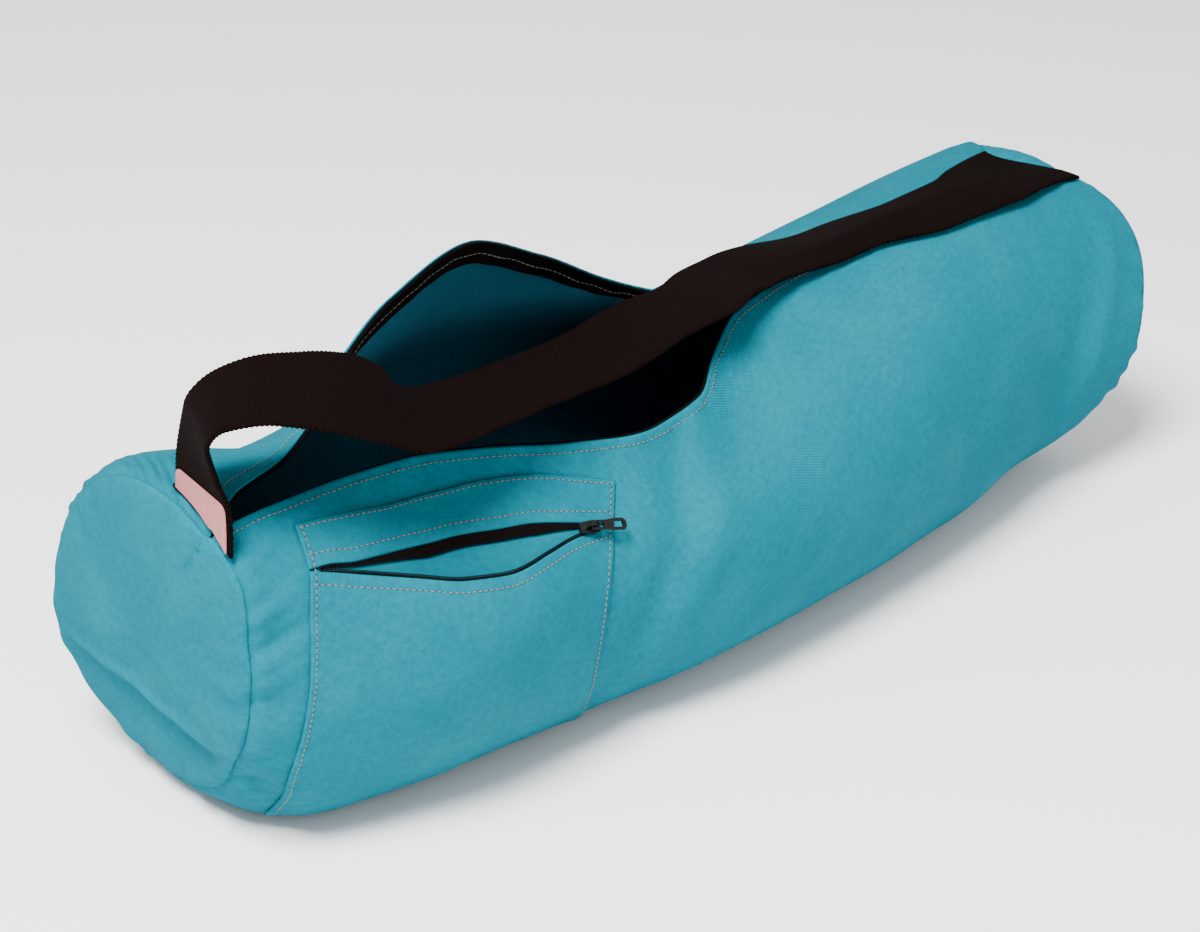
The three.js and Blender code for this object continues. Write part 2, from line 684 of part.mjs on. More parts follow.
// Pocket slider, a plate on the closed end of the zip with a bridge, and the pull on the bridge
const sliderLength = 11;
const sliderWidth = 7;
const sliderThick = 2;
const bridgeLength = 6;
const bridgeHeight = 4;
const bridgeWidth = 1.8;
const bridgeBar = 0.9;
const pullLength = 20;
const pullWidth = 6;
const pullThick = 1.2;
const pullSlot = 2.8;
const pullBar = 1.2;
const pullRest = 4;
const pullNeck = 0.8;
const pullNeckEnd = 0.45;
const pullShoulder = 0.6;
const pullCorner = 1.5;
const pullWindowFrom = 0.62;
const pullWindowRim = 2;
const pullWindowHalf = 0.28;
const bridgeSink = 0.2;
const sliderAcross = 0.9;
const sliderLook = 0.06;
const sliderGap = 1.25;
const sliderStand = pocketGap + coilBead + sliderGap;

const sliderSeat = pocketMouth.read(sliderAcross);
const sliderArc = ((sliderSeat.upper + sliderSeat.lower) / 2) * bagRadius;
const sliderOut = outwards(pocketAt(sliderAcross, sliderArc), sliderArc);
const sliderPlace = pocketStand(sliderAcross, 0, sliderArc, sliderStand);
const sliderBehind = pocketPoint(sliderAcross - sliderLook, sliderArc, 0);
const sliderOnward = pocketPoint(1, sliderArc, 0).sub(sliderBehind);
const sliderFrame = onCloth(sliderPlace, sliderOnward, sliderOut);

function extruded(shape, depth) {
  return new THREE.ExtrudeGeometry(shape, { depth, bevelEnabled: false });
}

const plate = extruded(sliderPlan(sliderLength, sliderWidth), sliderThick);
const bridge = extruded(bridgeSide(bridgeLength, bridgeHeight, bridgeBar), bridgeWidth)
  .translate(0, 0, -bridgeWidth / 2).rotateX(Math.PI / 2).translate(0, 0, sliderThick - bridgeSink);
addPiece('pocket_slider', merged(plate, bridge, (a, b) => a.add(b)), zipPlastic, sliderFrame);

// The pull turns about the bar that passes through the bridge's window
function pullPlan() {
  const half = pullWidth / 2;
  const shape = outline(new THREE.Shape(), mirrored([
    [-pullBar / 2, half * pullNeck],
    [pullLength * pullNeckEnd, half * pullNeck],
    [pullLength * pullShoulder, half],
    [pullLength - pullCorner, half],
    [pullLength, half - pullCorner],
  ]));
  const windows = [
    { from: pullBar / 2, to: pullBar / 2 + bridgeLength, reach: pullSlot / 2 },
    { from: pullLength * pullWindowFrom, to: pullLength - pullWindowRim, reach: pullWidth * pullWindowHalf },
  ];
  for (const { from, to, reach } of windows) {
    const corners = [[from, -reach], [from, reach], [to, reach], [to, -reach]];
    shape.holes.push(outline(new THREE.Path(), corners));
  }
  return shape;
}

const pullAxisHeight = sliderThick - bridgeSink + bridgeHeight / 2;
const pullFrame = new THREE.Group();
pullFrame.position.set(0, 0, pullAxisHeight);
pullFrame.rotation.y = radians(pullRest);
sliderFrame.add(pullFrame);
const pull = extruded(pullPlan(), pullThick).translate(0, 0, -pullThick / 2);
addPiece('pocket_pull', pull, zipPlastic, pullFrame);

// Main slider, one plain plate with its pull lying flat, under the strap where the lips meet
const mainSliderAt = 0.602;
const mainSliderLength = 14;
const mainSliderWidth = 9;
const mainSliderThick = 1.6;
const mainSliderSeat = section(mainSliderAt);
const seatMiddle = mainSliderSeat.start.clone().add(mainSliderSeat.end).divideScalar(2);
const mainSliderX = (mainSliderAt - 0.5) * tubeLength;
const mainSliderTop = Math.max(mainSliderSeat.start.y, mainSliderSeat.end.y) + seamGap;
const mainSliderPlace = new THREE.Vector3(mainSliderX, seatMiddle.x, mainSliderTop);
const along = new THREE.Vector3(1, 0, 0);
const upright = new THREE.Vector3(0, 0, 1);
const mainSlider = extruded(sliderPlan(mainSliderLength, mainSliderWidth), mainSliderThick);
addPiece('main_zip_slider', mainSlider, zipPlastic, onCloth(mainSliderPlace, along, upright));

export default bag;
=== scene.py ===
import math

import bpy
import numpy as np
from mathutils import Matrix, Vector


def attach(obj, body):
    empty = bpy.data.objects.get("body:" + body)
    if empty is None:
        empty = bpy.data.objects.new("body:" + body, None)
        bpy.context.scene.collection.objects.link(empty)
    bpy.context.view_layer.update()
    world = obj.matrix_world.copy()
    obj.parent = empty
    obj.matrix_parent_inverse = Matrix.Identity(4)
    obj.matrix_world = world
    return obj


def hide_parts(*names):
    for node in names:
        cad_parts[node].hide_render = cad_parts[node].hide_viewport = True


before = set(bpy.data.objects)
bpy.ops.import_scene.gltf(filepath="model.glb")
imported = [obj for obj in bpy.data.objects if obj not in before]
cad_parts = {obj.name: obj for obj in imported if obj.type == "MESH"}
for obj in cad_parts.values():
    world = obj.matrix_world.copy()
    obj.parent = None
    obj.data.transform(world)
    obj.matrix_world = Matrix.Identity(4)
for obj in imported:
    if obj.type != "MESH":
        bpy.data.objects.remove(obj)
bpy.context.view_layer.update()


# Body of the bag
# One panel of medium-weight turquoise canvas, wrapped round from the near zip lip, under the belly and up
# to the flap's edge. Both lips are turned under and top-stitched, and both ends are sewn to round panels.
bag_radius = 95
tube_length = 646.2
canvas_thick = 1.4


class Table:
    """Rows of named columns, read between them by a smooth curve that never overshoots them."""

    def __init__(self, columns, rows):
        rows = np.array(rows, float)
        self.names = columns.split()[1:]
        self.keys, self.values = rows[:, 0], rows[:, 1:]
        step = np.diff(self.keys)[:, None]
        rise = np.diff(self.values, axis=0) / step
        before, after = 2 * step[1:] + step[:-1], step[1:] + 2 * step[:-1]
        with np.errstate(divide="ignore", invalid="ignore"):
            mean = (before + after) / (before / rise[:-1] + after / rise[1:])
        mean = np.where(rise[:-1] * rise[1:] > 0, mean, 0)
        self.slopes = np.vstack([rise[:1], mean, rise[-1:]])

    def read(self, key):
        key = np.asarray(key, float)
        i = np.clip(np.searchsorted(self.keys, key, side="right") - 1, 0, len(self.keys) - 2)
        step = self.keys[i + 1] - self.keys[i]
        t = ((key - self.keys[i]) / step)[..., None]
        step = step[..., None]
        value = (
            (2 * t**3 - 3 * t**2 + 1) * self.values[i]
            + (t**3 - 2 * t**2 + t) * step * self.slopes[i]
            + (3 * t**2 - 2 * t**3) * self.values[i + 1]
            + (t**3 - t**2) * step * self.slopes[i + 1]
        )
        return {name: value[..., c] for c, name in enumerate(self.names)}


belly = Table("at near nearRise far farRise foot footShift lift", [
    [0, 0.712, 1.361, 1.114, 0.775, 0.048, 0.402, 0.124],
    [0.043, 0.816, 1.16, 1.17, 1.03, 0.208, 0.193, 0.022],
    [0.092, 0.887, 1.051, 1.11, 1.16, 0.264, 0.099, 0],
    [0.185, 0.993, 1.01, 0.98, 1.02, 0.316, 0.066, 0],
    [0.308, 1.084, 1.016, 0.928, 0.952, 0.398, 0.021, 0],
    [0.446, 1.215, 1.001, 0.964, 0.992, 0.425, 0, 0],
    [0.615, 1.168, 1.044, 1.01, 1.029, 0.418, 0, 0],
    [0.769, 1.042, 1.093, 1.037, 1.029, 0.381, 0.025, 0],
    [0.892, 0.916, 1.148, 1.067, 1.074, 0.337, 0.048, 0.087],
    [0.962, 0.939, 1.112, 1.046, 1.118, 0.27, 0.052, 0.126],
    [1, 0.93, 1.086, 1.03, 1.157, 0.179, 0.063, 0.241],
])
near_lip = Table("at out up lean", [
    [0, -0.477, 1.904, 24],
    [0.046, -0.455, 1.918, 35],
    [0.092, -0.453, 1.916, 44],
    [0.169, -0.471, 1.891, 59],
    [0.231, -0.547, 1.832, 67],
    [0.308, -0.678, 1.733, 71],
    [0.377, -0.755, 1.677, 68],
    [0.438, -0.692, 1.71, 58],
    [0.485, -0.505, 1.834, 47],
    [0.538, -0.348, 1.939, 35],
    [0.615, -0.304, 1.998, 23],
    [0.769, -0.311, 2.029, 16],
    [0.962, -0.339, 2.0, 20],
    [1, -0.34, 1.985, 22],
])
far_lip = Table("at out up lean", [
    [0, -0.448, 1.9, 204],
    [0.038, -0.299, 1.972, 186],
    [0.085, -0.202, 1.991, 168],
    [0.123, -0.079, 2.044, 143],
    [0.169, 0.068, 2.225, 120],
    [0.231, 0.145, 2.446, 110],
    [0.308, 0.169, 2.597, 112],
    [0.377, 0.095, 2.425, 122],
    [0.438, -0.009, 2.193, 137],
    [0.485, -0.096, 2.069, 148],
    [0.538, -0.189, 2.021, 158],
    [0.615, -0.247, 2.02, 166],
    [0.769, -0.25, 2.048, 176],
    [0.962, -0.279, 2.02, 196],
    [1, -0.292, 1.995, 200],
])
folds = [dict(zip("at arc run wide slant rise".split(), row)) for row in [
    [0.352, 0.75, 0.02, 0.7, 24, -0.05],
    [0.395, 0.6, 0.022, 0.7, 26, 0.03],
    [0.016, 0.62, 0.022, 0.1, 12, -0.035],
    [0.014, 0.98, 0.018, 0.09, -8, -0.03],
    [0.935, 1.1, 0.014, 0.6, 14, 0.025],
    [0.9, 1.2, 0.02, 0.55, 14, -0.02],
    [0.8, 0.2, 0.13, 0.2, 0, 0.05],
    [0.017, 1.7, 0.012, 0.3, -26, -0.05],
]]
quarter = 0.5523
lip_tension = 0.95


def section_corners(at):
    """Corner points of the five curves of each section, from the near lip round to the far lip."""
    b, n, f = (table.read(at) for table in (belly, near_lip, far_lip))
    point = lambda y, z: np.stack([y, z], -1) * bag_radius
    start, end = point(n["out"], n["up"]), point(f["out"], f["up"])
    near, far = point(-b["near"], b["nearRise"]), point(b["far"], b["farRise"])
    foot_near = point(b["footShift"] - b["foot"], b["lift"])
    foot_far = point(b["footShift"] + b["foot"], b["lift"])
    across, up = np.array([quarter, 0]), np.array([0, quarter])

    def leaning(lip, lean, side):
        arm = quarter * lip_tension * np.linalg.norm(lip - side, axis=-1, keepdims=True)
        return lip - arm * np.stack([np.cos(np.radians(lean)), np.sin(np.radians(lean))], -1)

    curves = [
        (start, leaning(start, n["lean"], near), near + up * (start - near), near),
        (near, near - up * (near - foot_near), foot_near - across * (foot_near - near), foot_near),
        (foot_near, (2 * foot_near + foot_far) / 3, (foot_near + 2 * foot_far) / 3, foot_far),
        (foot_far, foot_far + across * (far - foot_far), far - up * (far - foot_far), far),
        (far, far + up * (end - far), leaning(end, f["lean"], far), end),
    ]
    return np.stack([np.stack(c, -2) for c in curves], -3)


def bezier(c, t):
    t = t[..., None]
    return ((1 - t) ** 3 * c[..., 0, :] + 3 * (1 - t) ** 2 * t * c[..., 1, :]
            + 3 * (1 - t) * t**2 * c[..., 2, :] + t**3 * c[..., 3, :])


# How far along its five curves each section is, for every share of its girth
stations = np.linspace(0, 1, 216)
steps_a_curve = 80
curve_steps = np.linspace(0, 5, 5 * steps_a_curve + 1)
curve_index = np.minimum(curve_steps.astype(int), 4)
station_lines = bezier(section_corners(stations)[:, curve_index], (curve_steps - curve_index)[None, :])
station_walk = np.linalg.norm(np.diff(station_lines, axis=1), axis=2).cumsum(1)
station_walk = np.concatenate([np.zeros((len(stations), 1)), station_walk], 1)
girths = station_walk[:, -1]
shares = np.linspace(0, 1, 601)
share_steps = np.stack([np.interp(shares, walk / walk[-1], curve_steps) for walk in station_walk])

crease_height = 0.668
crease_climb = 0.137
tuck_slope = 0.22
tuck_reach = 0.092
tuck_softness = 0.042

drawn_back = 0.44
drawn_wide = 0.35
drawn_from = 0.7
drawn_heights = (1.3, 1.9)


def girth(at):
    return np.interp(at, stations, girths)


def smoothstep(value, low, high):
    t = np.clip((value - low) / (high - low), 0, 1)
    return t * t * (3 - 2 * t)


def drawn(at, y, z):
    """How far the strap draws the top of the far end seam back towards the middle of the bag."""
    share = smoothstep(at, drawn_from, 1) * smoothstep(z / bag_radius, *drawn_heights)
    return drawn_back * bag_radius * share * np.exp(-((y / bag_radius / drawn_wide) ** 2))


def below_crease(y, z):
    return crease_height * bag_radius + crease_climb * y - z


def smooth_point(at, arc):
    """A point of the outer face before its folds: arc runs from the near lip and straight on past it."""
    at, arc = np.broadcast_arrays(np.asarray(at, float), np.asarray(arc, float))
    around = girth(at)
    row = np.clip(at, 0, 1) * (len(stations) - 1)
    column = np.clip(arc / around, 0, 1) * (len(shares) - 1)
    r, c = np.minimum(row.astype(int), len(stations) - 2), np.minimum(column.astype(int), len(shares) - 2)
    fr, fc = row - r, column - c
    step = ((1 - fr) * ((1 - fc) * share_steps[r, c] + fc * share_steps[r, c + 1])
            + fr * ((1 - fc) * share_steps[r + 1, c] + fc * share_steps[r + 1, c + 1]))
    curve = np.minimum(step.astype(int), 4)
    corners = np.take_along_axis(section_corners(at), curve[..., None, None, None], -3)[..., 0, :, :]
    flat = bezier(corners, step - curve)
    for table, past in ((near_lip, -arc), (far_lip, arc - around)):
        lean = np.radians(table.read(at)["lean"])
        flat = flat + np.stack([np.cos(lean), np.sin(lean)], -1) * np.maximum(past, 0)[..., None]
    y, z = flat[..., 0], flat[..., 1]
    below = below_crease(y, z)
    soft = (below + np.hypot(below, tuck_softness * bag_radius)) / 2
    tuck = tuck_slope * soft * np.maximum(0, 1 - at / tuck_reach) ** 2
    return np.stack([(at - 0.5) * tube_length + tuck - drawn(at, y, z), y, z], -1)


def unit(v):
    return v / np.maximum(np.linalg.norm(v, axis=-1, keepdims=True), 1e-12)


def outwards(at, arc):
    probe = 1.5
    step = probe / tube_length
    at, arc = np.broadcast_arrays(np.asarray(at, float), np.asarray(arc, float))
    around = smooth_point(at, arc + probe) - smooth_point(at, arc - probe)
    onwards = smooth_point(np.minimum(at + step, 1), arc) - smooth_point(np.maximum(at - step, 0), arc)
    return unit(np.cross(around, onwards))


def ripple(place, wave, seed):
    """Uneven waves along a line, from about -1 to 1, from a few sines with seeded lengths and starts."""
    random = np.random.default_rng(seed)
    total = 0
    for _ in range(5):
        length, start = wave * random.uniform(0.6, 1.9), random.uniform(0, 2 * math.pi)
        total = total + np.sin(2 * math.pi * np.asarray(place) / length + start)
    return total / 2.6


# Cloth sags and creases that are too small for a section: broad soft waves, gathers beside each seam
seam_dip = 3.2
seam_dip_width = 2.6
seam_gather = 1.5
seam_gather_reach = 14
lip_gather = 1.1
lip_gather_reach = 9
wave_height = 0.8


def fold_rise(at, arc):
    at, arc = np.broadcast_arrays(np.asarray(at, float), np.asarray(arc, float))
    x, around = at * tube_length, girth(at)
    rise = np.zeros(at.shape)
    for fold in folds:
        below = arc - fold["arc"] * bag_radius
        down = below / (fold["wide"] * bag_radius)
        along = (x - fold["at"] * tube_length + math.tan(math.radians(fold["slant"])) * below)
        rise += fold["rise"] * bag_radius * np.exp(-(down**2) - (along / (fold["run"] * tube_length)) ** 2)
    rise += wave_height * ripple(x + 0.4 * arc, 130, 3) * ripple(arc - 0.3 * x, 110, 4)
    for end, seed in ((x, 11), (tube_length - x, 12)):
        end = np.maximum(end, 0)
        rise -= seam_dip * np.exp(-((end / seam_dip_width) ** 2))
        gather = ripple(arc + 0.35 * end, 17, seed) * np.exp(-end / seam_gather_reach)
        rise += seam_gather * gather * (1 - np.exp(-end / 3))
    for lip, seed in ((arc, 13), (around - arc, 14)):
        gather = ripple(x + 0.5 * lip, 14, seed) * np.exp(-np.abs(lip) / lip_gather_reach)
        rise += lip_gather * gather * np.clip(lip / 5, 0, 1)
    return rise


def cloth_point(at, arc, height=0.0):
    at, arc, height = np.broadcast_arrays(
        np.asarray(at, float), np.asarray(arc, float), np.asarray(height, float))
    return smooth_point(at, arc) + outwards(at, arc) * (fold_rise(at, arc) + height)[..., None]


def mesh_object(name, points, faces, body="bag", flat=None, face_slots=None):
    """A smooth mesh riding on a body, from points in millimetres, with flat cloth places in metres as UVs."""
    mesh = bpy.data.meshes.new(name)
    points, faces = np.asarray(points, np.float32) * 0.001, np.asarray(faces, np.int32)
    count, corners = faces.shape
    mesh.vertices.add(len(points))
    mesh.vertices.foreach_set("co", points.ravel())
    mesh.loops.add(count * corners)
    mesh.loops.foreach_set("vertex_index", faces.ravel())
    mesh.polygons.add(count)
    mesh.polygons.foreach_set("loop_start", np.arange(0, count * corners, corners, dtype=np.int32))
    mesh.polygons.foreach_set("loop_total", np.full(count, corners, np.int32))
    mesh.polygons.foreach_set("use_smooth", np.ones(count, bool))
    if face_slots is not None:
        mesh.polygons.foreach_set("material_index", np.asarray(face_slots, np.int32))
    if flat is not None:
        layer = mesh.uv_layers.new(name="cloth")
        layer.data.foreach_set("uv", (np.asarray(flat, np.float32) * 0.001)[faces.ravel()].ravel())
    mesh.update()
    mesh.validate()
    piece = bpy.data.objects.new(name, mesh)
    bpy.context.scene.collection.objects.link(piece)
    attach(piece, body)
    return piece


def sheet_object(name, middle, thick, flat, body="bag"):
    """A sheet of cloth with a rounded rim, from a grid of points halfway through it, rows running down."""
    rows, columns = middle.shape[:2]
    normal = unit(np.cross(np.gradient(middle, axis=0), np.gradient(middle, axis=1)))
    index = np.arange(rows * columns).reshape(rows, columns)
    rim = np.concatenate([index[:, 0], index[-1, 1:], index[-2::-1, -1], index[0, -2:0:-1]])
    inner = np.empty_like(rim)
    for k, i in enumerate(rim):
        r, c = divmod(int(i), columns)
        inner[k] = index[min(max(r, 1), rows - 2), min(max(c, 1), columns - 2)]
    half = np.broadcast_to(np.asarray(thick, float) / 2, (rows, columns))[..., None]
    flat_middle = middle.reshape(-1, 3)
    outward = unit(flat_middle[rim] - flat_middle[inner]) * half.reshape(-1, 1)[rim]
    faces_of_cloth = [(middle + normal * way * half).reshape(-1, 3) for way in (1, -1)]
    points = np.concatenate([*faces_of_cloth, flat_middle[rim] + outward])
    a, b, c, d = index[:-1, :-1], index[1:, :-1], index[1:, 1:], index[:-1, 1:]
    front = np.stack([a, b, c, d], -1).reshape(-1, 4)
    back = front[:, ::-1] + rows * columns
    start, after = np.arange(len(rim)), np.roll(np.arange(len(rim)), -1)
    edge = 2 * rows * columns
    near_rim = np.stack([rim[after], rim[start], edge + start, edge + after], -1)
    far_rim = np.stack(
        [edge + after, edge + start, rim[start] + rows * columns, rim[after] + rows * columns], -1)
    faces = np.concatenate([front, back, near_rim, far_rim])
    slots = np.concatenate([np.zeros(len(front)), np.ones(len(back)), np.zeros(2 * len(rim))])
    places = flat.reshape(-1, 2)
    return mesh_object(name, points, faces, body, np.concatenate([places, places, places[rim]]), slots)


# Denser near both lips, where the hems are
tube_rows = 214
tube_columns = 214
row_shares = np.linspace(0, 1, tube_rows)
row_shares = row_shares - 0.55 * np.sin(2 * math.pi * row_shares) / (2 * math.pi)
column_places = np.linspace(0, 1, tube_columns)
column_places = column_places - 0.5 * np.sin(2 * math.pi * column_places) / (2 * math.pi)
tube_at, tube_share = np.meshgrid(column_places, row_shares)
tube_arc = tube_share * girth(tube_at)
tube = sheet_object(
    "tube_cloth", cloth_point(tube_at, tube_arc, -canvas_thick / 2), canvas_thick,
    np.stack([tube_at * tube_length, tube_arc], -1))
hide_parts("tube_panel")


def new_material(name):
    material = bpy.data.materials.new(name)
    material.use_nodes = True
    return material, material.node_tree, material.node_tree.nodes["Principled BSDF"]


def add(tree, kind, settings=None, **links):
    """A node with its settings, and its sockets set to values or linked from other nodes' sockets."""
    node = tree.nodes.new(kind)
    for key, value in (settings or {}).items():
        setattr(node, key, value)
    for key, value in links.items():
        name = key.replace("_", " ")
        socket = node.inputs[int(name[1:])] if name[0] == "i" and name[1:].isdigit() else node.inputs[name]
        if isinstance(value, bpy.types.NodeSocket):
            tree.links.new(value, socket)
        else:
            socket.default_value = value
    return node


def math_node(tree, operation, a, b=0.0):
    return add(tree, "ShaderNodeMath", {"operation": operation}, i0=a, i1=b).outputs[0]


def new_group(name, inputs, outputs):
    tree = bpy.data.node_groups.new(name, "ShaderNodeTree")
    for label, kind, value in inputs:
        socket = tree.interface.new_socket(label, in_out="INPUT", socket_type="NodeSocket" + kind)
        if value is not None:
            socket.default_value = value
    for label, kind in outputs:
        tree.interface.new_socket(label, in_out="OUTPUT", socket_type="NodeSocket" + kind)
    return tree, tree.nodes.new("NodeGroupInput"), tree.nodes.new("NodeGroupOutput")


def use_group(tree, group, **links):
    node = tree.nodes.new("ShaderNodeGroup")
    node.node_tree = group
    for key, value in links.items():
        socket = node.inputs[key.replace("_", " ")]
        if isinstance(value, bpy.types.NodeSocket):
            tree.links.new(value, socket)
        else:
            socket.default_value = value
    return node


def yarn_back(tree, across):
    """The round back of each yarn, one to every unit."""
    wave = math_node(tree, "SINE", math_node(tree, "MULTIPLY", across, math.pi))
    return math_node(tree, "ABSOLUTE", wave)


# Plain weave: each yarn's round back, over and under by turns, and slubs where a yarn is thicker
def make_weave():
    tree, given, result = new_group(
        "Plain weave",
        [("Place", "Vector", None), ("Yarns", "Float", 1300.0), ("Slub", "Float", 0.3)],
        [("Height", "Float"), ("Shade", "Float")])
    place = add(tree, "ShaderNodeVectorMath", {"operation": "SCALE"}, i0=given.outputs[0],
                Scale=given.outputs[1])
    parts = add(tree, "ShaderNodeSeparateXYZ", i0=place.outputs[0])
    warp, weft = (yarn_back(tree, parts.outputs[k]) for k in (0, 1))
    turn = add(tree, "ShaderNodeTexChecker", Vector=place.outputs[0], Scale=1.0).outputs["Fac"]
    over = add(tree, "ShaderNodeMix", {"data_type": "FLOAT"}, i0=turn, i2=warp, i3=weft).outputs[0]
    slub = add(tree, "ShaderNodeTexNoise", Vector=given.outputs[0], Scale=420.0, Detail=3.0).outputs[0]
    uneven = math_node(tree, "MULTIPLY", slub, given.outputs[2])
    tree.links.new(math_node(tree, "ADD", over, uneven), result.inputs[0])
    tree.links.new(slub, result.inputs[1])
    return tree


weave = make_weave()


# Canvas: dyed cotton, matt, slightly faded where it is rubbed, with the soft relief of small creases
def make_canvas(name, colour, shade_colour, pale_colour):
    material, tree, skin = new_material(name)
    place = add(tree, "ShaderNodeUVMap", {"uv_map": "cloth"}).outputs[0]
    cloth = use_group(tree, weave, Place=place, Yarns=1350.0, Slub=0.7)
    broad = add(tree, "ShaderNodeTexNoise", Vector=place, Scale=16.0, Detail=4.0, Roughness=0.6).outputs[0]
    fine = add(tree, "ShaderNodeTexNoise", Vector=place, Scale=260.0, Detail=5.0, Roughness=0.7).outputs[0]
    faded = add(tree, "ShaderNodeMapRange", i0=broad, i1=0.42, i2=0.72).outputs[0]
    tone = add(tree, "ShaderNodeMix", {"data_type": "RGBA"}, i0=math_node(tree, "MULTIPLY", faded, 0.5),
               i6=colour, i7=pale_colour).outputs[2]
    grain = add(tree, "ShaderNodeMapRange", i0=fine, i1=0.35, i2=0.65).outputs[0]
    tone = add(tree, "ShaderNodeMix", {"data_type": "RGBA"}, i0=math_node(tree, "MULTIPLY", grain, 0.34),
               i6=tone, i7=shade_colour).outputs[2]
    # Painted shade: where the weave is low, in the hollows between the yarns (random slubs included), the
    # colour is mixed towards the darker one.
    pit_painted_shade = add(tree, "ShaderNodeMapRange", i0=cloth.outputs[0], i1=0.0, i2=0.75, i3=0.62, i4=0.0).outputs[0]
    tone = add(tree, "ShaderNodeMix", {"data_type": "RGBA"}, i0=pit_painted_shade, i6=tone, i7=shade_colour).outputs[2]
    tree.links.new(tone, skin.inputs["Base Color"])
    skin.inputs["Roughness"].default_value = 0.9
    skin.inputs["Specular IOR Level"].default_value = 0.04
    creases = add(tree, "ShaderNodeTexNoise", Vector=place, Scale=55.0, Detail=3.0, Distortion=0.6).outputs[0]
    soft = add(tree, "ShaderNodeBump", Strength=0.5, Distance=0.0016, Height=creases)
    yarn = add(tree, "ShaderNodeBump", Strength=0.7, Distance=0.0004, Height=cloth.outputs[0],
               Normal=soft.outputs[0])
    tree.links.new(yarn.outputs[0], skin.inputs["Normal"])
    return material


canvas_outside = make_canvas(
    "canvas", (0.0, 0.155, 0.210, 1), (0.0, 0.070, 0.110, 1), (0.008, 0.215, 0.270, 1))
# The reverse face: a bluer copy of the canvas, also darkened as painted shade for the faces that lie inside
# the bag.
canvas_inside_painted_shade = make_canvas(
    "canvas_reverse_painted_shade", (0.014, 0.090, 0.140, 1), (0.006, 0.050, 0.090, 1), (0.028, 0.130, 0.185, 1))
for cloth_material in (canvas_outside, canvas_inside_painted_shade):
    tube.data.materials.append(cloth_material)


# End panels
# Rounds of the same canvas, seamed to the tube with the allowance inside, so that the seam is a groove with
# soft gathers on both sides. The near one is folded under along a crease across its lower part.
end_dome = 5
end_lip = 2.2
ridge_rise = 3.2
ridge_width = 4
hollow_depth = 18
hollow_slope = 7
hollow_reach = 34
hollow_from = 70
hollow_to = -60
hollow_least = 0.25
crease_softness = 1.5
panel_gap = 0.3
panel_wave = 0.7
shoulder_power = 10
puff_power = 6
puff = 1.5
end_grid = 130


def near_relief(y, z):
    """The crease is sharp and the cloth below it turns inwards, more so towards the pocket's side."""
    below = below_crease(y, z)
    side = np.clip((hollow_from - y) / (hollow_from - hollow_to), 0, 1)
    soft = (below + np.hypot(below, crease_softness)) / 2
    hollow = (1 - np.exp(-soft / hollow_slope)) * np.exp(-((soft / hollow_reach) ** 2))
    depth = hollow_depth * (hollow_least + (1 - hollow_least) * side)
    return depth * hollow - ridge_rise * np.exp(-((below / ridge_width) ** 2))


def end_panel(name, node, at, side, relief, power, seed):
    arcs = np.linspace(0, 1, 721) * girth(at)
    rim = cloth_point(at, arcs, 0.0)
    middle = rim.mean(0)
    middle[0] = max(middle[0], (at - 0.5) * tube_length)
    angle = np.unwrap(np.arctan2(rim[:, 2] - middle[2], rim[:, 1] - middle[1]))
    order = np.argsort(angle)
    angle, rim, arcs = angle[order], rim[order], arcs[order]
    u, v = np.meshgrid(np.linspace(-1, 1, end_grid), np.linspace(1, -1, end_grid))
    y, z = u * np.sqrt(1 - v**2 / 2) * side, v * np.sqrt(1 - u**2 / 2)
    share, phi = np.minimum(np.hypot(y, z), 1), np.arctan2(z, y)
    wrap = lambda values: np.concatenate([values, values, values])
    turns = np.concatenate([angle - 2 * math.pi, angle, angle + 2 * math.pi])
    edge = np.stack([np.interp(phi, turns, wrap(rim[:, k])) for k in range(3)], -1)
    arc = np.interp(phi, turns, wrap(arcs))
    back = drawn(at, edge[..., 1], edge[..., 2]) / (drawn_back * bag_radius)
    reach = share + puff * back * share**puff_power * (1 - share)
    point = middle + reach[..., None] * (edge - middle)
    point[..., 0] = middle[0] + share**power * (edge[..., 0] - middle[0])
    inner = np.maximum(0, 1 - (share / 0.96) ** 3)
    inset = (1 - share) * bag_radius
    bulge = end_lip * (1 - np.exp(-inset / 1.8)) + end_dome * inner
    gather = seam_gather * ripple(arc, 19, seed) * np.exp(-inset / 16) * (1 - np.exp(-inset / 3))
    point[..., 0] += side * (panel_gap + bulge + gather) + relief(point[..., 1], point[..., 2]) * inner
    point[..., 0] += panel_wave * ripple(point[..., 1] + 0.5 * point[..., 2], 60, seed + 1) * inner
    panel = sheet_object(name, point, canvas_thick, point[..., 1:] + [0, 900 * side])
    for cloth_material in (canvas_outside, canvas_inside_painted_shade):
        panel.data.materials.append(cloth_material)
    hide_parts(node)
    return panel


end_panel("near_end_cloth", "near_end_panel", 0.0, -1, near_relief, 1, 21)
end_panel("far_end_cloth", "far_end_panel", 1.0, 1, lambda y, z: 0 * y, shoulder_power, 31)


# Main zip
# Two dark brown woven tapes sewn inside the lips, each with half of a nylon coil along its edge. The tape
# inside the flap shows, with a row of light stitches. The slider is hidden under the strap.
zip_from = 0.03
zip_to = 0.975
zip_tape_width = 14
zip_tape_thick = 0.7
zip_gap = 0.45
coil_pitch = 1.5
coil_turn_points = 10
coil_wire = 0.34
coil_half_width = 1.05
coil_half_height = 0.75

zip_at = np.linspace(zip_from, zip_to, 330)
zip_depth = -(canvas_thick + zip_gap + zip_tape_thick / 2)
tape_steps = np.linspace(0, 1, 9)


def tape_sheet(name, node, far):
    at, down = np.meshgrid(zip_at, tape_steps)
    arc = girth(at) + 0.3 - down * zip_tape_width if far else down * zip_tape_width - 0.3
    middle = cloth_point(at, arc, zip_depth)
    if far:
        middle, arc = middle[::-1], arc[::-1]
    tape = sheet_object(name, middle, zip_tape_thick, np.stack([at * tube_length, arc], -1))
    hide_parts(node)
    return tape


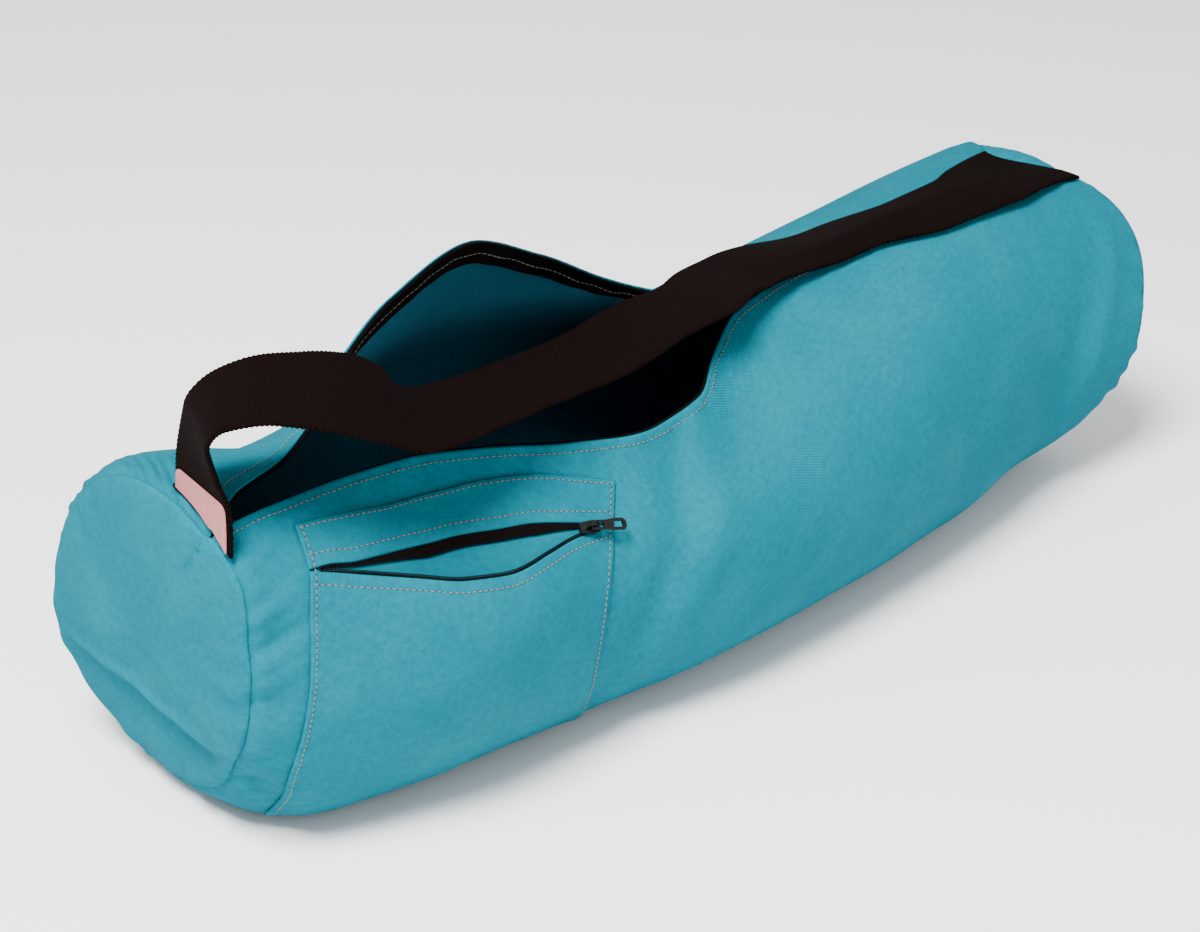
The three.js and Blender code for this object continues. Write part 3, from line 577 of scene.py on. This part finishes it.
near_tape = tape_sheet("main_zip_near_tape_cloth", "main_zip_near_tape", False)
far_tape = tape_sheet("main_zip_far_tape_cloth", "main_zip_far_tape", True)


def resample(points, step, *others):
    """Points at equal steps along a line, and whatever goes with them."""
    walk = np.concatenate([[0], np.linalg.norm(np.diff(points, axis=0), axis=1).cumsum()])
    places = np.arange(0, walk[-1], step)
    along = lambda values: np.stack([np.interp(places, walk, column) for column in values.T], -1)
    return [along(values) for values in (points, *others)]


def wire(path, radius, sides):
    """Points and faces of a round wire that follows a path."""
    tangent = unit(np.gradient(path, axis=0))
    side = unit(np.cross(tangent, np.array([0.31, 0.52, 0.79])))
    other = np.cross(tangent, side)
    angle = np.linspace(0, 2 * math.pi, sides, endpoint=False)
    ring = side[:, None] * np.cos(angle)[None, :, None] + other[:, None] * np.sin(angle)[None, :, None]
    points = (path[:, None] + radius * ring).reshape(-1, 3)
    index = np.arange(len(points)).reshape(len(path), sides)
    following = np.roll(index, -1, axis=1)
    faces = np.stack([index[:-1], following[:-1], following[1:], index[1:]], -1).reshape(-1, 4)
    return points, faces


def coil_object(name, edge, outward, normal, body="bag"):
    """Half of a zip's coil, wound along an edge."""
    edge, outward, normal = resample(edge, coil_pitch / coil_turn_points, outward, normal)
    turn = np.arange(len(edge)) * 2 * math.pi / coil_turn_points
    path = (edge + unit(outward) * (coil_half_width * np.cos(turn))[:, None]
            + unit(normal) * (coil_half_height * np.sin(turn))[:, None])
    points, faces = wire(path, coil_wire, 4)
    return mesh_object(name, points, faces, body)


def lip_coil(name, far):
    arc_at = (lambda past: girth(zip_at) + past) if far else (lambda past: zip_at * 0 - past)
    edge = cloth_point(zip_at, arc_at(0.5), zip_depth)
    outward = cloth_point(zip_at, arc_at(1.5), zip_depth) - edge
    return coil_object(name, edge, outward, outwards(zip_at, np.clip(arc_at(0), 0, None)))


near_coil = lip_coil("main_zip_near_coil", False)
far_coil = lip_coil("main_zip_far_coil", True)


def make_zip_tape():
    material, tree, skin = new_material("zip_tape")
    place = add(tree, "ShaderNodeUVMap", {"uv_map": "cloth"}).outputs[0]
    cloth = use_group(tree, weave, Place=place, Yarns=2200.0, Slub=0.3)
    tone = add(tree, "ShaderNodeMix", {"data_type": "RGBA"}, i0=cloth.outputs[1],
               i6=(0.0012, 0.0007, 0.0006, 1), i7=(0.0050, 0.0028, 0.0024, 1)).outputs[2]
    tree.links.new(tone, skin.inputs["Base Color"])
    skin.inputs["Roughness"].default_value = 0.85
    skin.inputs["Specular IOR Level"].default_value = 0.04
    bump = add(tree, "ShaderNodeBump", Strength=0.5, Distance=0.0002, Height=cloth.outputs[0])
    tree.links.new(bump.outputs[0], skin.inputs["Normal"])
    return material


def make_zip_plastic(name, roughness, specular):
    material, tree, skin = new_material(name)
    rub = add(tree, "ShaderNodeTexNoise", Scale=900.0, Detail=3.0).outputs[0]
    tone = add(tree, "ShaderNodeMix", {"data_type": "RGBA"}, i0=rub,
               i6=(0.0010, 0.0009, 0.0010, 1), i7=(0.0045, 0.0040, 0.0040, 1)).outputs[2]
    tree.links.new(tone, skin.inputs["Base Color"])
    skin.inputs["Roughness"].default_value = roughness
    skin.inputs["Specular IOR Level"].default_value = specular
    return material


zip_tape_material = make_zip_tape()
zip_plastic_material = make_zip_plastic("zip_plastic", 0.35, 0.30)
coil_material = make_zip_plastic("zip_coil", 0.55, 0.08)
for piece in (near_tape, far_tape):
    piece.data.materials.append(zip_tape_material)
    piece.data.materials.append(zip_tape_material)
for piece, plastic in ((near_coil, coil_material), (far_coil, coil_material),
                       (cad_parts["main_zip_slider"], zip_plastic_material)):
    piece.data.materials.clear()
    piece.data.materials.append(plastic)


# Top-stitching
# Grey-beige polyester thread in a lockstitch about 3 mm long, pulled slightly into the cloth, along both
# lips of the mouth and inside the flap where it holds the tape.
stitch_pitch = 3.1
stitch_length = 2.5
stitch_radius = 0.3
stitch_stand = 0.12
thread_sides = 6
# Rings along one stitch: place along it, thickness as a share of its radius, height
thread_rings = ["-0.5 0.35 -0.35", "-0.3 0.9 0", "0 1 0.12", "0.3 0.9 0", "0.5 0.35 -0.35"]
hole_sides = 8
hole_long = 0.42
hole_wide = 0.36
hole_stand = 0.1
hole_tip = 0.16


def stitches_object(name, line, normal, seed, radius=stitch_radius):
    """A row of stitches along a line of points, each a short thread whose ends go down into the cloth."""
    line, normal = resample(line, stitch_pitch, normal)
    random = np.random.default_rng(seed)
    along, up = unit(np.gradient(line, axis=0)), unit(normal)
    side = np.cross(up, along)
    swing = random.normal(0, 0.05, len(line))[:, None]
    along = unit(along + swing * side)
    side = np.cross(up, along)
    rings = np.array([row.split() for row in thread_rings], float)
    angle = np.linspace(0, 2 * math.pi, thread_sides, endpoint=False)
    length = stitch_length * random.uniform(0.9, 1.06, len(line))
    points = (
        line[:, None, None]
        + along[:, None, None] * (rings[:, 0][None, :, None] * length[:, None, None])[..., None]
        + side[:, None, None] * (rings[:, 1][None, :, None] * np.cos(angle)[None, None] * radius)[..., None]
        + up[:, None, None] * (rings[:, 1][None, :, None] * np.sin(angle)[None, None] * radius
                               + rings[:, 2][None, :, None] + stitch_stand)[..., None])
    index = np.arange(len(line) * len(rings) * thread_sides).reshape(len(line), len(rings), thread_sides)
    following = np.roll(index, -1, axis=2)
    faces = np.stack([index[:, :-1], following[:, :-1], following[:, 1:], index[:, 1:]], -1).reshape(-1, 4)
    row = mesh_object(name, points.reshape(-1, 3), faces)
    row.data.materials.append(thread_material)
    # Painted shade for the needle hole after each stitch.
    paint_needle_hole_shade(name.replace("stitches", "holes"), line + along * stitch_pitch / 2, along, side, up)
    return row


def paint_needle_hole_shade(name, place, along, side, up):
    """Painted shade at each needle hole: a small dark lens on the cloth between each stitch and the next,
    where the threads go down into it.
    """
    angle = np.linspace(0, 2 * math.pi, hole_sides, endpoint=False)
    rim = along[:, None] * np.cos(angle)[None, :, None] * hole_long
    rim = rim + side[:, None] * np.sin(angle)[None, :, None] * hole_wide
    rim = place[:, None] + rim + up[:, None] * hole_stand
    tip = place[:, None] + up[:, None] * hole_tip
    base = place[:, None] - up[:, None] * hole_stand
    points = np.concatenate([rim, tip, base], 1)
    index = np.arange(len(points) * (hole_sides + 2)).reshape(-1, hole_sides + 2)
    ring = index[:, :hole_sides]
    following = np.roll(ring, -1, axis=1)
    lid = np.stack([ring, following, np.repeat(index[:, -2:-1], hole_sides, 1)], -1).reshape(-1, 3)
    floor_side = np.stack([following, ring, np.repeat(index[:, -1:], hole_sides, 1)], -1).reshape(-1, 3)
    holes = mesh_object(name, points.reshape(-1, 3), np.concatenate([lid, floor_side]))
    holes.data.materials.append(hole_shade_material)


def make_thread():
    material, tree, skin = new_material("thread")
    noise = add(tree, "ShaderNodeTexNoise", Scale=700.0, Detail=2.0).outputs[0]
    tone = add(tree, "ShaderNodeMix", {"data_type": "RGBA"}, i0=noise,
               i6=(0.055, 0.060, 0.056, 1), i7=(0.22, 0.19, 0.155, 1)).outputs[2]
    tree.links.new(tone, skin.inputs["Base Color"])
    skin.inputs["Roughness"].default_value = 0.6
    return material


def make_hole_shade():
    material, tree, skin = new_material("needle_hole_painted_shade")
    noise = add(tree, "ShaderNodeTexNoise", Scale=900.0).outputs[0]
    # Painted shade: the dark teal of the cloth in shadow inside a needle hole, varied a little at random.
    tone = add(tree, "ShaderNodeMix", {"data_type": "RGBA"}, i0=noise,
               i6=(0.002, 0.020, 0.030, 1), i7=(0.004, 0.045, 0.060, 1)).outputs[2]
    tree.links.new(tone, skin.inputs["Base Color"])
    skin.inputs["Roughness"].default_value = 0.9
    return material


thread_material, hole_shade_material = make_thread(), make_hole_shade()
near_hem = 4.0
far_hem = 7.0


inner_radius = 0.7 * stitch_radius


def lip_stitches(name, from_at, to_at, arc_at, height, seed):
    """A row along a lip, on the outer face or, below it, on the tape inside, where it is finer."""
    at = np.linspace(from_at, to_at, 500)
    arc = arc_at(at)
    way, radius = (-1, inner_radius) if height < 0 else (1, stitch_radius)
    stitches_object(name, cloth_point(at, arc, height), outwards(at, arc) * way, seed, radius)


lip_stitches("near_lip_stitches", 0.012, 0.988, lambda at: near_hem + 0 * at, 0.0, 41)
lip_stitches("far_lip_stitches", 0.012, 0.988, lambda at: girth(at) - far_hem, 0.0, 42)
lip_stitches("far_tape_stitches", zip_from, zip_to, lambda at: girth(at) - far_hem,
             zip_depth - zip_tape_thick / 2, 43)


# Pocket
# A canvas patch on the near side: a band above its zip and a panel below it, turned under and stitched down
# on three sides. The panel's open edge hangs forward from the body.
pocket_bulge = 15
pocket_gap = 0.55
pocket_hem_rise = 34
pocket_cloth = 1.3
pocket_width = 180
# Where the pieces lie on the flat cloth that they are cut from
panel_place = np.array([3000, 0])
band_place = np.array([3000, 400])
pocket_tape_place = np.array([4000, 0])
pocket_sides = Table("arc left right", [
    [0.16, 0.058, 0.334],
    [0.36, 0.051, 0.318],
    [0.53, 0.043, 0.303],
    [0.72, 0.04, 0.291],
    [0.92, 0.038, 0.285],
    [1.2, 0.034, 0.282],
    [1.53, 0.031, 0.289],
    [1.89, 0.034, 0.305],
    [2.6, 0.04, 0.315],
])
pocket_mouth = Table("across top upper lower", [
    [0, 0.14, 0.355, 0.375],
    [0.06, 0.15, 0.365, 0.405],
    [0.15, 0.17, 0.4, 0.45],
    [0.31, 0.195, 0.42, 0.525],
    [0.45, 0.195, 0.43, 0.59],
    [0.6, 0.165, 0.43, 0.62],
    [0.75, 0.155, 0.42, 0.565],
    [0.87, 0.18, 0.43, 0.505],
    [1, 0.225, 0.45, 0.47],
])
pocket_fill = Table("down rise", [[0, 1], [0.12, 1], [0.3, 0.88], [0.55, 0.45], [0.8, 0.12], [1, 0]])
level_until = 0.5


def pocket_at(across, arc):
    sides = pocket_sides.read(np.asarray(arc) / bag_radius)
    return sides["left"] + (sides["right"] - sides["left"]) * across


def pocket_point(across, down, arc, height):
    """A point of the patch: down is 0 at the panel's open edge and None on the band, which lies flat."""
    at = pocket_at(across, arc)
    if down is None:
        return cloth_point(at, arc, height)
    level = 1 - np.clip(down / level_until, 0, 1) ** 2 * (3 - 2 * np.clip(down / level_until, 0, 1))
    way = outwards(at, arc) * (1 - level)[..., None] + np.array([0, -1.0, 0]) * level[..., None]
    rise = pocket_bulge * pocket_fill.read(down)["rise"] * np.maximum(np.sin(math.pi * across), 0) ** 1.3
    return cloth_point(at, arc, height) + unit(way) * rise[..., None]


across, down = np.meshgrid(np.linspace(0, 1, 150), np.linspace(0, 1, 120))
panel_top = pocket_mouth.read(across)["lower"] * bag_radius
hem_arc = np.interp(pocket_at(across, 2 * bag_radius), stations,
                    station_walk[:, 2 * steps_a_curve]) - pocket_hem_rise
panel_arc = panel_top + (hem_arc - panel_top) * down
creasing = 0.5 * ripple(across * pocket_width + 0.3 * panel_arc, 26, 51) * np.clip(down * 8, 0, 1)
creasing = creasing + 0.35 * ripple(panel_arc, 21, 52) * np.exp(-across * (1 - across) * 40)
panel_points = pocket_point(across, down, panel_arc, pocket_gap + pocket_cloth / 2 + 0.4 * creasing)
pocket_panel = sheet_object(
    "pocket_panel_cloth", panel_points, pocket_cloth,
    np.stack([across * pocket_width, panel_arc], -1) + panel_place)

band_across, band_down = np.meshgrid(np.linspace(0, 1, 150), np.linspace(0, 1, 24))
band_edges = pocket_mouth.read(band_across)
band_arc = (band_edges["top"] + (band_edges["upper"] - band_edges["top"]) * band_down) * bag_radius
pocket_band = sheet_object(
    "pocket_band_cloth", pocket_point(band_across, None, band_arc, pocket_gap + pocket_cloth / 2),
    pocket_cloth, np.stack([band_across * pocket_width, band_arc], -1) + band_place)
for piece, node, flat in ((pocket_panel, "pocket_panel", (0.18, 0.15)),
                          (pocket_band, "pocket_band", (0.18, 0.024))):
    for cloth_material in (canvas_outside, canvas_inside_painted_shade):
        piece.data.materials.append(cloth_material)
    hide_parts(node)


def pocket_line(across, arc, height, down=None):
    """A line on the patch and the way it faces."""
    here = pocket_point(across, down, arc, height)
    above = pocket_point(across, down, arc, height + 1)
    return here, above - here


stitch_height = pocket_gap + pocket_cloth
across_line = np.linspace(0.012, 0.988, 240)
edges = {name: values * bag_radius for name, values in pocket_mouth.read(across_line).items()}
zero = 0 * across_line
stitches_object("pocket_top_stitches", *pocket_line(across_line, edges["top"] + 1.6, stitch_height), 61)
stitches_object("pocket_band_stitches", *pocket_line(across_line, edges["upper"] - 5.5, stitch_height), 62)
panel_reach = hem_arc[0].mean() - edges["lower"].mean()
stitches_object("pocket_edge_stitches", *pocket_line(
    across_line, edges["lower"] + 5, stitch_height, zero + 5 / panel_reach), 63)
for name, side_across, seed in (("left", 0.012, 64), ("right", 0.988, 65)):
    mouth_row = pocket_mouth.read(side_across)
    side_arc = np.linspace((mouth_row["top"] * bag_radius) + 1.6, hem_arc.mean() - 2, 260)
    share = np.clip((side_arc - mouth_row["lower"] * bag_radius) / panel_reach, 0, 1)
    stitches_object(f"pocket_{name}_stitches", *pocket_line(
        zero[0] + np.full(260, side_across), side_arc, stitch_height, share), seed)


# Pocket zip
# A narrower zip of the same kind. Its tapes are sewn under the band and behind the panel's open edge, the
# slider stands at the closed end, and the pull hangs from the slider's bridge.
pocket_zip_ends = (0.03, 0.95)
pocket_tape_width = 5.5
pocket_tape_thick = 0.6
upper_tape_shows = 5.5
lower_tape_shows = 1.2
pocket_zip_line = np.linspace(*pocket_zip_ends, 260)


def pocket_zip_half(name, node, edge, way, on_panel, shows):
    line = np.tile(pocket_zip_line, (5, 1))
    row = pocket_mouth.read(line)
    room = np.clip((row["lower"] - row["upper"]) * bag_radius / 2 - 1.2, 0.2, shows)
    step = np.array([-pocket_tape_width, -2.0, 0.0, 0.6, 1.0])[:, None] * np.where(
        np.arange(5)[:, None] > 2, room + 0.4, 1.0)
    arc = row[edge] * bag_radius + way * step
    level = 0 * line if on_panel else None
    middle = pocket_point(line, level, arc, pocket_gap + 0.1)
    if way < 0:
        middle = middle[::-1]
    places = np.stack([line * pocket_width, arc], -1) + pocket_tape_place
    tape = sheet_object(name + "_cloth", middle, pocket_tape_thick, places)
    tape.data.materials.append(zip_tape_material)
    tape.data.materials.append(zip_tape_material)
    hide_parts(node)
    line, row = line[0], pocket_mouth.read(pocket_zip_line)
    place = row[edge] * bag_radius + way * (room[0] + 0.3)
    level = 0 * line if on_panel else None
    centre = pocket_point(line, level, place, pocket_gap + 0.2)
    outward = pocket_point(line, level, place + way, pocket_gap + 0.2) - centre
    normal = pocket_point(line, level, place, pocket_gap + 1.2) - centre
    coil = coil_object(name + "_coil", centre, outward, normal)
    coil.data.materials.append(coil_material)
    return tape


pocket_zip_half("pocket_zip_upper", "pocket_zip_upper_tape", "upper", 1, False, upper_tape_shows)
pocket_zip_half("pocket_zip_lower", "pocket_zip_lower_tape", "lower", -1, True, lower_tape_shows)
for node in ("pocket_slider", "pocket_pull"):
    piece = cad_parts[node]
    piece.data.materials.clear()
    piece.data.materials.append(zip_plastic_material)
    softened = piece.modifiers.new("rounded_edges", "BEVEL")
    softened.width = 0.0003
    softened.segments = 2


# Strap
# Heavy dark brown cotton webbing 48 mm wide, sewn into both end seams. It stands up in a loop at the near
# end, lies across the open mouth and on along the closed part of the zip.
strap_width = 48
strap_thick = 2.3
strap_rows = 1500
strap_columns = 13
edge_bumps = 0.35
edge_bump_pitch = 2.0
strap_path = Table("run at out up turn tilt lie lift", [
    [0, 0.003, -0.365, 1.94, 6, 0, 1, 0.008],
    [0.02, 0.005, -0.37, 2.066, 7, 0, 0, 0.008],
    [0.042, 0.004, -0.358, 2.231, 15, 0, 0, 0.008],
    [0.064, 0.005, -0.358, 2.398, 24, 3, 0, 0.008],
    [0.086, 0.017, -0.426, 2.525, 30, 7, 0, 0.008],
    [0.113, 0.042, -0.537, 2.567, 30, 13, 0, 0.008],
    [0.144, 0.072, -0.645, 2.535, 28, 20, 0, 0.008],
    [0.175, 0.104, -0.709, 2.455, 24, 28, 0, 0.008],
    [0.207, 0.134, -0.715, 2.335, 15, 31, 0, 0.008],
    [0.238, 0.164, -0.666, 2.221, -2, 19, 0, 0.008],
    [0.27, 0.198, -0.606, 2.15, -9, 9, 0, 0.008],
    [0.338, 0.272, -0.522, 2.088, -7, 4, 0, 0.008],
    [0.409, 0.352, -0.477, 2.068, -6, 4, 0, 0.008],
    [0.483, 0.434, -0.398, 2.1, -12, 2, 0, 0.02],
    [0.521, 0.475, -0.388, 2.104, -13, 0, 0, 0.05],
    [0.559, 0.516, -0.281, 2.096, -11, -1, 0, 0.06],
    [0.597, 0.558, -0.2, 2.066, -6, 0, 0, 0.06],
    [0.635, 0.601, -0.165, 2.065, -1, 0, 0.2, 0.03],
    [0.713, 0.688, -0.168, 2.06, 5, -4.5, 1, 0.03],
    [0.792, 0.777, -0.29, 2.057, 4, -9, 1, 0.05],
    [0.873, 0.875, -0.285, 2.08, 1, -10, 1, 0.055],
    [0.913, 0.92, -0.23, 2.07, 0, -7, 1, 0.04],
    [0.955, 0.962, -0.19, 2.04, 0, -4, 1, 0.022],
    [1, 0.994, -0.17, 2.0, 0, 0, 1, 0.01],
])

# Height of the bag's top over the ground plan, from its sections
plan_y = np.linspace(-1.1, 0.6, 171) * bag_radius
crown_lines = smooth_point(np.repeat(stations[:, None], 400, 1), np.linspace(0, 1, 400) * girths[:, None])
crown_heights = []
for line in crown_lines:
    top = line[line[:, 2] > 1.3 * bag_radius]
    top = top[np.argsort(top[:, 1])]
    crown_heights.append(np.interp(plan_y, top[:, 1], top[:, 2]))
crown_heights = np.stack(crown_heights)


def crown(x, y):
    row = np.clip(x / tube_length + 0.5, 0, 1) * (len(stations) - 1)
    column = np.clip((y - plan_y[0]) / (plan_y[1] - plan_y[0]), 0, len(plan_y) - 1.001)
    r, c = np.minimum(row.astype(int), len(stations) - 2), column.astype(int)
    fr, fc = row - r, column - c
    return ((1 - fr) * ((1 - fc) * crown_heights[r, c] + fc * crown_heights[r, c + 1])
            + fr * ((1 - fc) * crown_heights[r + 1, c] + fc * crown_heights[r + 1, c + 1]))


def strap_point(run, across):
    row = strap_path.read(run)
    turn, tilt = np.radians(row["turn"]), np.radians(row["tilt"])
    width = np.stack([np.sin(turn) * np.cos(tilt), np.cos(turn) * np.cos(tilt), np.sin(tilt)], -1)
    point = np.stack([(row["at"] - 0.5) * tube_length, row["out"] * bag_radius, row["up"] * bag_radius], -1)
    point = point + width * (across * strap_width)[..., None]
    rest = crown(point[..., 0], point[..., 1]) + strap_thick / 2 + row["lift"] * bag_radius
    rest = rest + width[..., 2] * across * strap_width
    lie = np.clip(row["lie"], 0, 1)
    point[..., 2] = (1 - lie) * point[..., 2] + lie * rest
    point[..., 0] -= drawn(point[..., 0] / tube_length + 0.5, point[..., 1], point[..., 2])
    return point


strap_run, strap_across = np.meshgrid(
    np.linspace(0, 1, strap_rows), np.linspace(-0.5, 0.5, strap_columns), indexing="ij")
strap_middle = strap_point(strap_run[:, strap_columns // 2], strap_across[:, strap_columns // 2])
strap_length = np.linalg.norm(np.diff(strap_middle, axis=0), axis=1).sum()
scallop = edge_bumps * np.sin(2 * math.pi * strap_run * strap_length / edge_bump_pitch) / strap_width
strap_across = strap_across * (1 + 2 * scallop * (np.abs(strap_across) > 0.49))
strap = sheet_object(
    "strap_webbing", strap_point(strap_run, strap_across), strap_thick,
    np.stack([strap_across * strap_width, strap_run * strap_length], -1))
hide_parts("strap")


def make_webbing():
    material, tree, skin = new_material("webbing")
    place = add(tree, "ShaderNodeUVMap", {"uv_map": "cloth"}).outputs[0]
    slant = add(tree, "ShaderNodeMapping", Vector=place, Rotation=(0, 0, 0.62), Scale=(1, 0.8, 1)).outputs[0]
    cloth = use_group(tree, weave, Place=slant, Yarns=720.0, Slub=0.4)
    fuzz = add(tree, "ShaderNodeTexNoise", Vector=place, Scale=1500.0, Detail=3.0).outputs[0]
    # Painted light and shade on the yarn relief: the tops of the yarns lighter and the hollows between them
    # darker, with random slubs as well.
    tone = add(tree, "ShaderNodeMix", {"data_type": "RGBA"}, i0=cloth.outputs[0],
               i6=(0.0006, 0.0003, 0.0003, 1), i7=(0.0040, 0.0016, 0.0013, 1)).outputs[2]
    tree.links.new(tone, skin.inputs["Base Color"])
    skin.inputs["Roughness"].default_value = 0.9
    skin.inputs["Specular IOR Level"].default_value = 0.03
    yarn = add(tree, "ShaderNodeBump", Strength=0.9, Distance=0.0004, Height=cloth.outputs[0])
    soft = add(tree, "ShaderNodeBump", Strength=0.4, Distance=0.0002, Height=fuzz, Normal=yarn.outputs[0])
    tree.links.new(soft.outputs[0], skin.inputs["Normal"])
    return material


webbing_material = make_webbing()
strap.data.materials.append(webbing_material)
strap.data.materials.append(webbing_material)


# Tag
# A bare folded satin tag, dusty pink, sewn into the near end seam over the foot of the strap.
tag_width = 0.94
tag_thick = 0.7
tag_gap = 0.5
tag_from = 0.0004
tag_to = 0.026
tag_corner = 4
tag_flat_half = 22
tag_u, tag_v = np.meshgrid(np.linspace(-1, 1, 60), np.linspace(0, 1, 30))
tag_high = (tag_to - tag_from) * strap_length
tag_run = tag_from + (tag_to - tag_from) * (1 - tag_v)
reach = np.maximum(tag_corner - (1 - tag_v[::-1]) * tag_high, 0)
shrink = (tag_corner - np.sqrt(np.maximum(tag_corner**2 - reach**2, 0))) / (strap_width * tag_width / 2)
tag_across = tag_u * tag_width / 2 * (1 - shrink)
tag_middle = strap_point(tag_run, tag_across)
tag_out = unit(np.cross(np.gradient(tag_middle, axis=0), np.gradient(tag_middle, axis=1)))
tag_way = np.sign((tag_out * [-1, -0.4, 0]).sum(-1).mean())
tag_middle = tag_middle + tag_out * tag_way * (strap_thick / 2 + tag_gap)
tag = sheet_object(
    "loop_tag", tag_middle, tag_thick, np.stack([tag_u * tag_flat_half, tag_v * tag_high], -1))
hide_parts("loop_label")


def make_satin():
    material, tree, skin = new_material("satin")
    place = add(tree, "ShaderNodeUVMap", {"uv_map": "cloth"}).outputs[0]
    cloth = use_group(tree, weave, Place=place, Yarns=2600.0, Slub=0.2)
    tone = add(tree, "ShaderNodeMix", {"data_type": "RGBA"}, i0=cloth.outputs[1],
               i6=(0.30, 0.085, 0.085, 1), i7=(0.40, 0.13, 0.13, 1)).outputs[2]
    tree.links.new(tone, skin.inputs["Base Color"])
    skin.inputs["Roughness"].default_value = 0.45
    bump = add(tree, "ShaderNodeBump", Strength=0.3, Distance=0.0001, Height=cloth.outputs[0])
    tree.links.new(bump.outputs[0], skin.inputs["Normal"])
    return material


satin_material = make_satin()
tag.data.materials.append(satin_material)
tag.data.materials.append(satin_material)


# Floor, light and camera
# A pale seamless studio floor, a large soft light overhead and from the left, and a bright room.
floor_mesh = bpy.data.meshes.new("floor")
floor_mesh.from_pydata([(-6, -6, 0), (6, -6, 0), (6, 6, 0), (-6, 6, 0)], [], [(0, 1, 2, 3)])
floor = bpy.data.objects.new("floor", floor_mesh)
bpy.context.scene.collection.objects.link(floor)
floor_material, floor_tree, floor_skin = new_material("floor")
floor_tone = add(floor_tree, "ShaderNodeTexNoise", Scale=3.0)
floor_mix = add(floor_tree, "ShaderNodeMix", {"data_type": "RGBA"}, i0=floor_tone.outputs[0],
                i6=(0.94, 0.94, 0.94, 1), i7=(0.96, 0.96, 0.96, 1))
floor_tree.links.new(floor_mix.outputs[2], floor_skin.inputs["Base Color"])
floor_skin.inputs["Roughness"].default_value = 0.7
floor_mesh.materials.append(floor_material)

world = bpy.data.worlds.new("room")
bpy.context.scene.world = world
world.use_nodes = True
world.node_tree.nodes["Background"].inputs["Color"].default_value = (1.0, 1.0, 1.0, 1)
world.node_tree.nodes["Background"].inputs["Strength"].default_value = 0.9


def soft_light(name, place, target, size, power):
    data = bpy.data.lights.new(name, "AREA")
    data.size, data.energy = size, power
    light = bpy.data.objects.new(name, data)
    light.location = place
    light.rotation_euler = (Vector(target) - Vector(place)).to_track_quat("-Z", "Y").to_euler()
    bpy.context.scene.collection.objects.link(light)


soft_light("key", (-1.2, -0.5, 2.2), (0, 0, 0.1), 0.8, 185)
soft_light("fill", (0.6, -2.2, 1.0), (0, 0, 0.1), 1.5, 12)

camera_data = bpy.data.cameras.new("camera")
camera_data.lens, camera_data.sensor_width = 72, 36
camera = bpy.data.objects.new("camera", camera_data)
camera.location = (-0.8356, -0.8358, 0.6818)
looking = Vector((-0.0471, 0, 0.1022)) - camera.location
camera.rotation_euler = looking.to_track_quat("-Z", "Y").to_euler()
bpy.context.scene.collection.objects.link(camera)
bpy.context.scene.camera = camera
